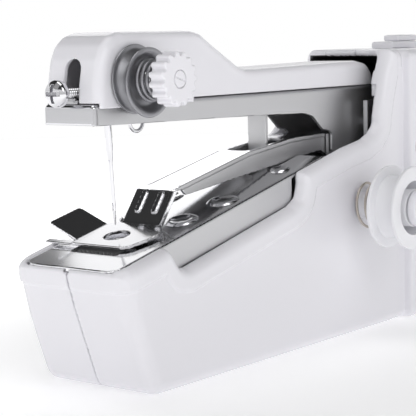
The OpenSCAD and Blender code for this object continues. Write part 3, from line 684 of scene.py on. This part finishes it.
CLAMP_Z = 64.2
KNOB_FACE, KNOB_BACK = -20.8, -16.8
STRAP_X, STRAP_HALF = 53.0, 2.7


def arm_cover(x, y, z, sizes):
    side = outline(x, z, ARM_COVER)
    foot = np.where(x < 18.8, COVER_FOOT - 1.1, COVER_FOOT)
    made = both(both(side, np.abs(y) - COVER_HALF_Y, sizes.cover_edge / MM), foot - z, 0.15)
    made = cut(made, both(np.abs(y) - ARM_HALF - 0.05, z - COVER_FOOT), 0.05)
    inside = both(both(side + COVER_WALL, np.abs(y) - COVER_HALF_Y + COVER_WALL, 1.2), 60 - z)
    made = cut(made, inside, 0.1)
    slot = both(either(rod(y, z, (0, 69), 2.25), both(np.abs(y) - 2.25, z - 69)), x + 8)
    made = cut(made, slot, 0.35)
    return cut(made, both(rod(x, z, TENSION, 1.92), y), 0.2)


def arm_channel(x, y, z):
    across = np.abs(y)
    made = both(outline(x, z, CHANNEL), across - ARM_HALF, 0.08)
    made = both(made, both(z - WEB_TOP, across - ARM_HALF, 1.0))
    made = both(made, both(CHANNEL_FRONT - x, both(z - WEB_TOP, across - ARM_HALF, 1.0), 0.9))
    inside = both(across - ARM_HALF + ARM_SHEET, z - WEB_TOP + ARM_SHEET, 0.4)
    made = cut(made, both(inside, CHANNEL_FRONT + ARM_SHEET - x, 0.4), 0.1)
    fold = both(slab(across, ARM_HALF - 0.3, ARM_HALF + 1), slab(z, 57, 61))
    made = cut(made, both(slab(x, -12.35, -12.05), fold), 0.1)
    made = cut(made, rod(x, z, (92, 52), 1.55))
    made = cut(made, both(rod(x, y, (-1.8, 0), 1.5), 50 - z))
    return cut(made, rod(x, z, (114, 52), 1.27))


def needle_axis(x, y, z):
    """Height along the needle from its point, and the distance from its axis."""
    u, w = x - TIP[0], z - TIP[1]
    along = w * math.cos(NEEDLE_TILT) - u * math.sin(NEEDLE_TILT)
    aside = u * math.cos(NEEDLE_TILT) + w * math.sin(NEEDLE_TILT)
    return along, aside


def needle(x, y, z):
    along, aside = needle_axis(x, y, z)
    thick = np.interp(along, (0, 0.6, 3.4, 14, 16.5, 33), (0.03, 0.16, 0.42, 0.5, 0.8, 0.8))
    made = both(np.hypot(aside, y) - thick, slab(along, 0, 33), 0.05)
    groove = both(rod(aside, y, (-0.62, 0), 0.22), slab(along, 5.4, 14.5))
    eye = both(both(np.abs(y) - 0.14, slab(along, 3.6, 5.1), 0.1), np.abs(aside) - 1)
    return cut(cut(made, groove, 0.05), eye, 0.05)


def clamp_screw(x, y, z):
    far, turn = np.hypot(y, z - CLAMP_Z), np.arctan2(y, z - CLAMP_Z)
    thread = 0.1 * np.cos(math.tau * x / 0.6 - turn)
    shank = both(far - 1.0 - thread, slab(x, -16, -2.9), 0.15)
    head = both(both(far - 2.85, np.hypot(x + 14.4, far) - 3.95, 0.3), slab(x, -18.2, -15.8), 0.12)
    cross = either(
        both(slab(y, -0.4, 0.4), slab(z, CLAMP_Z - 1.9, CLAMP_Z + 1.9)),
        both(slab(z, CLAMP_Z - 0.4, CLAMP_Z + 0.4), slab(y, -1.9, 1.9)))
    return cut(either(head, shank, 0.2), both(cross, x + 16.3), 0.1)


def tension_knob(x, y, z):
    u, w = x - TENSION[0], z - TENSION[1]
    far, turn = np.hypot(u, w), np.arctan2(w, u)
    rim = 5.35 + 0.45 * np.tanh(1.6 * np.cos(15 * turn))
    made = both(far - rim, slab(y, KNOB_FACE, KNOB_BACK), 0.45)
    made = cut(made, both(far - 1.95, -20.3 - y), 0.12)
    made = cut(made, both(slab(far, 1.75, 1.95), y + 20.45), 0.1)
    return cut(made, both(both(slab(w + 0.35 * u, -0.12, 0.12), far - 1.6), y + 20.6), 0.08)


def tension_stud(x, y, z):
    u, w = x - TENSION[0], z - TENSION[1]
    far = np.hypot(u, w)
    thread = 0.07 * np.cos(math.tau * y / 0.5 - np.arctan2(w, u))
    made = both(far - 1.82 - thread, slab(y, -20.2, -5), 0.2)
    return either(made, both(far - 3.4, slab(y, -6.58, -5), 0.15))


def drive_strap(x, y, z):
    made = block(x, y, z, (STRAP_X - 0.5, -STRAP_HALF, 28), (STRAP_X + 0.5, STRAP_HALF, 61), 0.12)
    foot = block(x, y, z, (STRAP_X - 0.5, -STRAP_HALF, 60.1), (STRAP_X + 4, STRAP_HALF, 61), 0.12)
    return either(made, foot, 0.5)


def needle_clamp(x, y, z):
    along, aside = needle_axis(x, y, z)
    made = block(x, y, z, (-12.5, -1.8, 61.8), (2.6, 1.8, 62.6), 0.12)
    made = either(made, block(x, y, z, (-12.5, -1.1, 61.8), (-11.7, 1.1, CLAMP_Z - 1.15), 0.12), 0.2)
    made = either(made, block(x, y, z, (-5, -2.1, 61.8), (2, 2.1, 68.4), 0.3), 0.2)
    made = cut(made, both(np.hypot(aside, y) - 0.82, 10 - along), 0.08)
    return cut(made, both(rod(y, z, (0, CLAMP_Z), 1.15), x + 2), 0.08)


class ArmCover(bpy.types.Operator):
    """Build the white cover over the front of the arm"""

    bl_idname = "machine.arm_cover"
    bl_label = "Arm cover"

    def execute(self, context):
        sizes = context.scene.machine_sizes
        low, high = (-12.7, -COVER_HALF_Y, 60.9), (95.2, COVER_HALF_Y, 76.7)
        mesh = skin("hump_cover", lambda x, y, z: arm_cover(x, y, z, sizes), low, high, 0.32, 0.4)
        finish_piece(mesh, "arm_cover", "white_plastic")
        return {"FINISHED"}


class ArmSteel(bpy.types.Operator):
    """Build the arm's folded channel, strap, needle and needle clamp"""

    bl_idname = "machine.arm_steel"
    bl_label = "Arm steel"

    def execute(self, context):
        brushed, bright = "brushed_steel", "bright_steel"
        for name, node, shape, low, high, pitch, keep, slot in (
            ("folded_channel", "arm_channel", arm_channel, (CHANNEL_FRONT, -ARM_HALF, 45),
                (118, ARM_HALF, WEB_TOP), 0.28, 0.4, brushed),
            ("strap", "drive_strap", drive_strap, (52.5, -2.7, 28), (57, 2.7, 61), 0.25, 0.5, brushed),
            ("needle_holder", "needle_clamp", needle_clamp, (-12.5, -2.1, 61.8), (2.6, 2.1, 68.4),
                0.2, 0.6, brushed),
            ("sewing_needle", "needle", needle, (-3, -0.8, 34.7), (0.6, 0.8, 67.8), 0.11, 0.6, bright),
            ("needle_screw", "clamp_screw", clamp_screw, (-18.2, -2.85, 61.3), (-2.9, 2.85, 67.1),
                0.15, 0.6, bright),
        ):
            piece = finish_piece(skin(name, shape, low, high, pitch, keep), node, slot)
            if shape is arm_channel:
                # the channel's front face gets the brighter steel as a painted highlight, standing in for the
                # light its front bend catches
                refinish(piece, bright, lambda x, y, z, normal: x < -12.3)
        return {"FINISHED"}


class Tension(bpy.types.Operator):
    """Build the thread tension: stud, two dished discs, spring, knob and thread guide"""

    bl_idname = "machine.tension"
    bl_label = "Thread tension"

    def execute(self, context):
        for name, node, shape, face, back, reach, pitch, slot in (
            ("knurled_knob", "tension_knob", tension_knob, KNOB_FACE, KNOB_BACK, 5.9, 0.18, "white_plastic"),
            ("threaded_stud", "tension_stud", tension_stud, -21, -5, 3.4, 0.16, "bright_steel"),
        ):
            low = (TENSION[0] - reach, face, TENSION[1] - reach)
            high = (TENSION[0] + reach, back, TENSION[1] + reach)
            finish_piece(skin(name, shape, low, high, pitch, 0.6), node, slot)
        for name, node, at_y, drop, bore, rise in (
            ("back_disc", "rear_tension_disc", -10.0, 0, 1.95, -1.6),
            ("front_disc", "front_tension_disc", -10.55, 0.7, 2.65, 1.6),
        ):
            mesh = lathe(name, [(dish(bore, rise), (TENSION[0], at_y, TENSION[1] - drop), (0, -1, 0))])
            finish_piece(mesh, node, "dark_spring")
        coil = helix((TENSION[0], -12.1, TENSION[1] - 0.3), (0, -1, 0), 4.4, 3.4, 4.0, 3.5)
        finish_piece(wire("tension_coil", [coil], 0.42), "tension_spring", "dark_spring")
        loop = [(0, -5.2, 61), (0, -5.2, 59.4)]
        loop += [(u + 2.1, -5.2, w) for u, w in arc((0, 57.6), 2.2, 180, 360, 20)]
        loop = [(loop[2][0], *p[1:]) for p in loop[:2]] + loop[2:] + [(4.3, -5.2, 59.4), (4.3, -5.2, 61)]
        finish_piece(wire("guide_loop", [loop], 0.4), "thread_guide", "bright_steel")
        return {"FINISHED"}


def dish(bore, rise):
    """Profile of a dished disc, its rim flared by rise and rolled at the edge."""
    front = [(bore, 0.45), (3.9, 0.45), (4.4, 0.5 if rise > 0 else 0.4)]
    steps = (0.15, 0.3, 0.45, 0.6, 0.75, 0.9, 1)
    front += [(4.4 + 2.4 * t, 0.45 + rise * t * t * (3 - 2 * t)) for t in steps]
    rim = [(7.1, 0.45 + rise), (7.33, rise + 0.37), (7.4, rise + 0.22), (7.33, rise + 0.07), (7.1, rise)]
    back = [(r, along - 0.45) for r, along in front[::-1]]
    return front + rim + back


def helix(start, axis, first, last, length, turns, per_turn=36):
    """Points along a coil whose radius goes from first to last."""
    turn = Vector(axis).to_track_quat("Z", "Y")
    points = []
    for i in range(int(turns * per_turn) + 1):
        share = i / (turns * per_turn)
        radius, a = first + (last - first) * share, math.tau * turns * share
        spot = Vector((radius * math.cos(a), radius * math.sin(a), length * share))
        points.append(turn @ spot + Vector(start))
    return points


# ---- needle plate and presser foot ----
def on_plate(x, z):
    """Along and above the needle plate's top, from the point under the needle."""
    c, s = math.cos(PLATE_TILT), math.sin(PLATE_TILT)
    return c * x + s * (z - PLATE_Z), c * (z - PLATE_Z) - s * x


def needle_plate(x, y, z):
    along, above = on_plate(x, z)
    across = np.abs(y)
    made = both(both(above, across - PLATE_HALF, 0.7), outline(x, y, PLATE_PLAN), 0.15)
    hollow = both(above + PLATE_THICK, across - (PLATE_HALF - 1), 0.35)
    flange = both(slab(x, 0.5, 47.9), -6.6 - above, 2.2)
    made = cut(made, hollow, 0.1)
    made = both(made, either(-PLATE_THICK - above, flange))
    for low, high in (((-7.2, -6.6), (-0.7, 6.9)), ((46, -3.3), (59, 3.3)), ((53, -5.6), (63, 5.6))):
        made = cut(made, both(slab(x, low[0], high[0]), slab(y, low[1], high[1]), 0.5), 0.12)
    return cut(made, rod(x, y, (1.1, 0), 1.3), 0.15)


FOOT_BASE = rounded([
    (-5.4, 8.2, 1), (-5.4, -6.2, 1.2), (-4.4, -7.8, 1.2), (0, -9.3, 2), (3.6, -9.8, 1), (5.4, -9, 1),
    (8.7, -6.4, 1), (8.7, 5.4, 1), (7, 8.2, 1)])
FOOT_TOP = rounded([
    (13.2, 41.4, 0), (16.5, 42, 1), (42.9, 47.8, 6), (60, 49.8, 6), (76, 50.3, 4), (82.4, 50.3, 0.5),
    (82.4, 49.5, 0.2), (76, 49.5, 4), (60, 49, 6), (42.9, 47, 6), (16.5, 41.2, 1), (13.2, 40.6, 0)])
FOOT_SIDE = rounded([
    (16.5, 42, 0.4), (42.9, 47.8, 6), (60, 49.8, 6), (76, 50.3, 4), (82.4, 50.3, 0.8), (82.9, 46, 2),
    (81, 43.9, 1.5), (77.5, 44, 1.5), (72.7, 46, 3), (18.5, 39.9, 1)])
RAMP_X, RAMP_UP, RAMP_HEAD = 8, 1.3, (13.2, 41.4)  # where the ramp starts, how high over the plate, its head
RAMP = [
    (RAMP_X, plate_top(RAMP_X) + 0.45), (9, plate_top(RAMP_X) + 0.7), (14.6, 41.6), RAMP_HEAD,
    (RAMP_X, plate_top(RAMP_X) + RAMP_UP)]
FOOT_HALF, FLAP_Y, FLAP_TILT = 5, 7.9, math.radians(25)


def presser_foot(x, y, z):
    along, above = on_plate(x, z)
    made = both(outline(along, y, FOOT_BASE), slab(above, 0.45, 1.2), 0.12)
    c, s = math.cos(FLAP_TILT), math.sin(FLAP_TILT)
    out, up = (y - FLAP_Y) * c + (above - 0.5) * s, (above - 0.5) * c - (y - FLAP_Y) * s
    flap = both(both(slab(along, -3.6, 6.8), slab(out, -0.3, 8.8), 1.0), slab(up, 0, 0.6), 0.1)
    made = either(made, flap, 0.2)
    made = either(made, block(along, y, above, (-5.4, 7, 0.45), (-3.8, 16.1, 0.95), 0.12), 0.15)
    made = either(made, both(outline(x, z, RAMP), slab(y, -6.1, 5), 0.15), 0.4)
    made = either(made, both(outline(x, z, FOOT_TOP), np.abs(y) - FOOT_HALF, 0.1), 0.25)
    sides = both(outline(x, z, FOOT_SIDE), slab(np.abs(y), FOOT_HALF - 0.8, FOOT_HALF), 0.1)
    made = either(made, sides, 0.3)
    run, rise = RAMP_HEAD[0] - RAMP_X, RAMP_HEAD[1] - plate_top(RAMP_X) - RAMP_UP
    length = math.hypot(run, rise)
    ahead, above_foot = x - RAMP_X, z - plate_top(RAMP_X) - RAMP_UP
    climb = (ahead * run + above_foot * rise) / length
    out = (above_foot * run - ahead * rise) / length
    for middle in (-2.9, 1.9):
        bar = both(slab(climb, 0.3 * length, 0.95 * length), slab(y, middle - 0.7, middle + 0.7), 0.6)
        made = either(made, both(bar, slab(out, -0.3, 0.5), 0.25), 0.15)
    made = cut(made, both(rod(along, y, (0.8, 0), 3), above - 3), 0.12)
    made = cut(made, block(x, y, z, (44, -3.4, 46), (60, 3.4, 60), 2), 0.1)
    return cut(made, rod(x, z, (79.5, 46.8), 1.25))


class PlateAndFoot(bpy.types.Operator):
    """Build the needle plate with its bosses and the presser foot"""

    bl_idname = "machine.plate_and_foot"
    bl_label = "Needle plate and presser foot"

    def execute(self, context):
        low, high = (PLATE_FRONT, -PLATE_HALF, 24.5), (PLATE_END, PLATE_HALF, 45.7)
        plate = skin("throat_plate", needle_plate, low, high, 0.3, 0.4, True)
        plate = finish_piece(plate, "needle_plate", "polished_plate")
        refinish(plate, "brushed_steel", lambda x, y, z, normal: np.abs(normal[1]) > 0.8)
        foot = skin("folded_foot", presser_foot, (-5.9, -9.8, 29.5), (83, 16.3, 50.4), 0.26, 0.4, True)
        foot = finish_piece(foot, "presser_foot", "polished_plate")
        refinish(foot, "brushed_steel", lambda x, y, z, normal: (np.abs(normal[1]) > 0.8) & (x > 14))
        refinish(foot, "bright_steel", lambda x, y, z, normal: (normal[2] > 0.9) & (x < 9))
        ring = [
            (0, 0.12), (0.36, 0.12), (0.5, 0.2), (0.64, 0.42), (0.74, 0.5), (0.84, 0.42), (0.94, 0.14), (1, 0)]
        tilt = (-math.sin(PLATE_TILT), 0, math.cos(PLATE_TILT))
        bosses = []
        for at, across, radius in ((14.6, 6.8, 3.9), (28, 8.2, 3.9), (50.5, 8.2, 2.6)):
            profile = [(r * radius, h) for r, h in ring] + [(radius, -0.1), (0, -0.1)]
            for hand in (-1, 1):
                bosses.append((profile, (at, hand * across, plate_top(at)), tilt))
        finish_piece(lathe("pressed_bosses", bosses, 64), "plate_bosses", "polished_plate")
        return {"FINISHED"}


# ---- bobbin, switch, wheel and battery cover ----
def softened(profile, radius, steps=3):
    """A profile with its corners rounded."""
    return rounded([(r, h, radius) for r, h in profile], steps)


def turned_on_spindle(name, node, profile, y, slot, radius=0.2):
    """A piece turned about the bobbin's axis, its profile measured outwards from y."""
    mesh = lathe(name, [(softened(profile, radius), (SPINDLE[0], y, SPINDLE[1]), (0, -1, 0))])
    finish_piece(mesh, node, slot)


class Bobbin(bpy.types.Operator):
    """Build the bobbin on its spindle, with its spring and cap"""

    bl_idname = "machine.bobbin"
    bl_label = "Bobbin"

    def execute(self, context):
        turned_on_spindle("thread_bobbin", "bobbin", [
            (3.05, 0), (10.15, 0), (10.15, 0.9), (7.8, 0.9), (7.8, 6.7), (10.15, 6.7), (10.15, 7.6),
            (6.6, 7.6), (6.6, 1.8), (4.6, 1.8), (4.6, 7.6), (3.05, 7.6)], BOBBIN_Y, "bobbin_plastic")
        turned_on_spindle("spindle_post", "bobbin_spindle", [
            (0.02, -5.8), (1.55, -5.8), (1.55, 0.1), (3.5, 0.1), (3.5, 0.7), (3, 1.1), (3, 17.4),
            (0.02, 17.4)], -BODY_HALF, "bobbin_plastic", 0.25)
        turned_on_spindle("end_cap", "spindle_cap", [
            (0.02, 0.48), (3.02, 0.48), (3.02, 0), (4.6, 0), (4.6, 2.5), (0.02, 2.5)],
            -32.4, "white_plastic", 0.5)
        coil = helix((SPINDLE[0], -17.6, SPINDLE[1]), (0, -1, 0), 5.5, 5.5, 6.1, 2.5, 48)
        finish_piece(wire("spindle_coil", [coil], 0.33), "spindle_spring", "screw_steel")
        return {"FINISHED"}


def switch_pad(x, y, z):
    raised = rounded([
        (PAD_X, 71.02, 0), (PAD_X, 72.9, 0.9), (128, 72.9, 3), (132, 72.2, 2), (133, 68.8, 0.3),
        (128, 70.1, 2), (120, 71.02, 2)])
    made = both(outline(x, z, raised), np.abs(y) - PAD_HALF, 0.6)
    return cut(made, block(x, y, z, (119.5, -1.6, 60), (129, 1.6, 80), 0.4), 0.3)


def power_button(x, y, z):
    ridges = 0.12 * np.cos(math.tau * x / 1.2) * (np.abs(x - 121) < 3.6)
    made = both(block(x, y, z, (116, -2.5, 72.95), (126, 2.5, 80), 0.6), z - 74.55 - ridges, 0.35)
    return either(made, block(x, y, z, (121, -1.2, 63), (124, 1.2, 73.4), 0.2), 0.2)


def hand_wheel(x, y, z):
    u, w = x - CRANK[0], z - CRANK[1]
    far, turn = np.hypot(u, w), np.arctan2(w, u)
    grips = 15 - 0.45 * (0.5 + 0.5 * np.cos(18 * turn)) ** 2
    made = both(far - grips, slab(y, 19.2, 26.2), 1.0)
    made = either(made, both(far - 5, slab(y, 18.8, 20)), 0.3)
    made = cut(made, both(far - 12.4, 23.7 - y, 0.6), 0.6)
    made = either(made, both(far - 4.6, slab(y, 20, 25.4), 0.5), 0.6)
    return cut(made, both(far - 2.02, y - 22.7))


def battery_cover(x, y, z, sizes):
    _, side = body_solid(x, y, z, sizes)
    made = both(slab(side, -WALL, 0), np.abs(y) - COVER_HALF + 0.2, 0.25)
    made = both(made, both(z - COVER_H + 0.2, COVER_X + 0.2 - x, 0.2), 0.3)
    made = both(made, outline(x, y, PLAN))
    for k in range(6):
        made = cut(made, block(x, y, z, (136 + 2.4 * k, -7, -1), (137.2 + 2.4 * k, 7, 0.5), 0.3), 0.15)
    return made


class SwitchAndCovers(bpy.types.Operator):
    """Build the power switch, the hand wheel and the battery cover"""

    bl_idname = "machine.switch_and_covers"
    bl_label = "Switch, wheel and battery cover"

    def execute(self, context):
        sizes = context.scene.machine_sizes
        for name, node, shape, low, high, pitch in (
            ("raised_pad", "switch_pad", switch_pad, (PAD_X, -PAD_HALF, 68.8), (133, PAD_HALF, 72.9), 0.25),
            ("sliding_button", "power_button", power_button, (116, -2.5, 63), (126, 2.5, 74.7), 0.22),
            ("scalloped_wheel", "hand_wheel", hand_wheel, (99, 18.8, 11), (129, 26.2, 41), 0.35),
            ("battery_door", "battery_cover", lambda x, y, z: battery_cover(x, y, z, sizes),
                (132.2, -12.8, 0), (192, 12.8, 11.8), 0.35),
        ):
            finish_piece(skin(name, shape, low, high, pitch, 0.5), node, "white_plastic")
        return {"FINISHED"}


class InnerFinishes(bpy.types.Operator):
    """Give the frame's own parts their finishes"""

    bl_idname = "machine.inner_finishes"
    bl_label = "Finishes of the inner parts"

    def execute(self, context):
        for part in frame["record"]["subparts"]:
            node = frame["nodes"].get(part["node"])
            if node and not node.hide_render:
                node.data.materials.clear()
                node.data.materials.append(finish(part["material_slot"]))
        return {"FINISHED"}


# ---- stage ----
FLOOR_RADIUS = 0.8


class Stage(bpy.types.Operator):
    """Set up the pale floor, the soft lights and the camera"""

    bl_idname = "machine.stage"
    bl_label = "Stage"

    def execute(self, context):
        low, high = CAD_BOX
        floor = bmesh.new()
        bmesh.ops.create_circle(floor, cap_ends=True, segments=96, radius=FLOOR_RADIUS)
        mesh = bpy.data.meshes.new("floor")
        floor.to_mesh(mesh)
        floor.free()
        ground = bpy.data.objects.new("floor", mesh)
        ground.location.z = low[2] - 0.0001
        context.scene.collection.objects.link(ground)
        pale = (0.93, 0.93, 0.935)
        paper = moulded("floor_paper", pale, 0.55, grain=0.4, depth=0.004, shade=0.995)
        glow_outwards(paper)
        mesh.materials.append(paper)
        camera = bpy.data.objects.new("camera", bpy.data.cameras.new("camera"))
        right, up = Vector((0.6209, -0.7835, -0.0229)), Vector((0.1066, 0.0555, 0.9928))
        turn = Matrix((right, up, right.cross(up))).transposed()
        camera.matrix_world = Matrix.Translation((-0.2288, -0.2084, 0.0749)) @ turn.to_4x4()
        camera.data.lens = 123.59
        camera.data.clip_start = 0.01
        context.scene.collection.objects.link(camera)
        context.scene.camera = camera
        middle = Vector((0.05, 0, 0.045))
        lamps = {  # where each is, in metres, its width and height, and its watts
            "key": ((-0.35, -0.85, 0.7), 0.7, 0.5, 2.6),
            "top": ((-0.12, 0.0, 0.95), 0.6, 0.6, 2.0),
            "fill": ((-0.8, 0.2, 0.8), 0.6, 0.6, 0.4),
            "rim": ((0.75, 0.55, 0.55), 0.5, 0.5, 0.8),
        }
        for name, (place, wide, high_side, power) in lamps.items():
            lamp = bpy.data.lights.new(name, "AREA")
            lamp.shape = "RECTANGLE"
            lamp.size, lamp.size_y, lamp.energy = wide, high_side, power
            holder = bpy.data.objects.new(name, lamp)
            holder.location = place
            holder.rotation_euler = (middle - Vector(place)).to_track_quat("-Z", "Y").to_euler()
            context.scene.collection.objects.link(holder)
        context.scene.world = studio_world()
        context.scene.view_settings.view_transform = "Standard"
        return {"FINISHED"}


def glow_outwards(material):
    """Lets the paper glow more away from the machine, so that its edge melts into the backdrop."""
    tree = material.node_tree
    place = shader(tree, "TexCoord")
    stretch = shader(tree, "Mapping", {
        "Location": (-0.6, 0.2, 0), "Scale": (8, 11, 1), "Vector": place.outputs["Object"]})
    far = shader(tree, "VectorMath", {0: stretch.outputs["Vector"]})
    far.operation = "LENGTH"
    glow = shader(tree, "MapRange", {
        "From Min": 0.7, "From Max": 1.6, "To Min": 0.3, "To Max": 0.8, "Value": far.outputs["Value"]})
    feed(tree, tree.nodes["Principled BSDF"], {
        "Emission Color": (1, 1, 1, 1), "Emission Strength": glow.outputs["Result"]})


def studio_world():
    """White where the camera looks, and a studio with dark flags for what the metal mirrors."""
    world = bpy.data.worlds.new("studio")
    world.use_nodes = True
    tree = world.node_tree
    tree.nodes.clear()
    place = shader(tree, "TexCoord")
    parts = shader(tree, "SeparateXYZ", {0: place.outputs["Generated"]})
    ramp = shader(tree, "ValToRGB", {"Fac": parts.outputs["Z"]})
    ramp.color_ramp.interpolation = "EASE"
    stops = ((0.0, 0.75), (0.2, 0.85), (0.37, 0.97), (0.45, 0.05), (0.88, 0.03), (1.0, 0.35))
    while len(ramp.color_ramp.elements) < len(stops):
        ramp.color_ramp.elements.new(0.5)
    for element, (position, level) in zip(ramp.color_ramp.elements, stops):
        element.position = position
        element.color = (level, level, level * 1.01, 1)
    nearness = shader(tree, "MapRange", {
        "From Min": -0.75, "From Max": 0.1, "To Min": 0.85, "To Max": 1.0, "Value": parts.outputs["Y"]})
    mirrored = shader(tree, "Background", {
        "Color": ramp.outputs["Color"], "Strength": nearness.outputs["Result"]})
    seen = shader(tree, "Background", {"Color": (1, 1, 1, 1)})
    ray = shader(tree, "LightPath")
    chosen = shader(tree, "MixShader", {
        0: ray.outputs["Is Camera Ray"], 1: mirrored.outputs[0], 2: seen.outputs[0]})
    shader(tree, "OutputWorld", {"Surface": chosen.outputs[0]})
    return world


class MachinePanel(bpy.types.Panel):
    """The machine's sizes, finishes and pieces"""

    bl_idname = "MACHINE_PT_pieces"
    bl_label = "Sewing machine"
    bl_space_type = "VIEW_3D"
    bl_region_type = "UI"
    bl_category = "Sewing machine"

    def draw(self, context):
        for group in (context.scene.machine_sizes, context.scene.machine_finishes):
            for name in group.__annotations__:
                self.layout.prop(group, name)
        for operator in OPERATORS:
            self.layout.operator(operator.bl_idname)


OPERATORS = (
    BodyShells, ArmCover, ArmSteel, Tension, PlateAndFoot, Bobbin, SwitchAndCovers, InnerFinishes, Stage)
CLASSES = (MachineFinishes, MachineSizes, *OPERATORS, MachinePanel)


def register():
    for cls in CLASSES:
        bpy.utils.register_class(cls)
    bpy.types.Scene.machine_sizes = PointerProperty(type=MachineSizes)
    bpy.types.Scene.machine_finishes = PointerProperty(type=MachineFinishes)


def unregister():
    del bpy.types.Scene.machine_sizes
    del bpy.types.Scene.machine_finishes
    for cls in reversed(CLASSES):
        bpy.utils.unregister_class(cls)


def main():
    """Builds every piece in turn."""
    register()
    for operator in OPERATORS:
        module, name = operator.bl_idname.split(".")
        getattr(getattr(bpy.ops, module), name)()


if __name__ == "__main__":
    main()
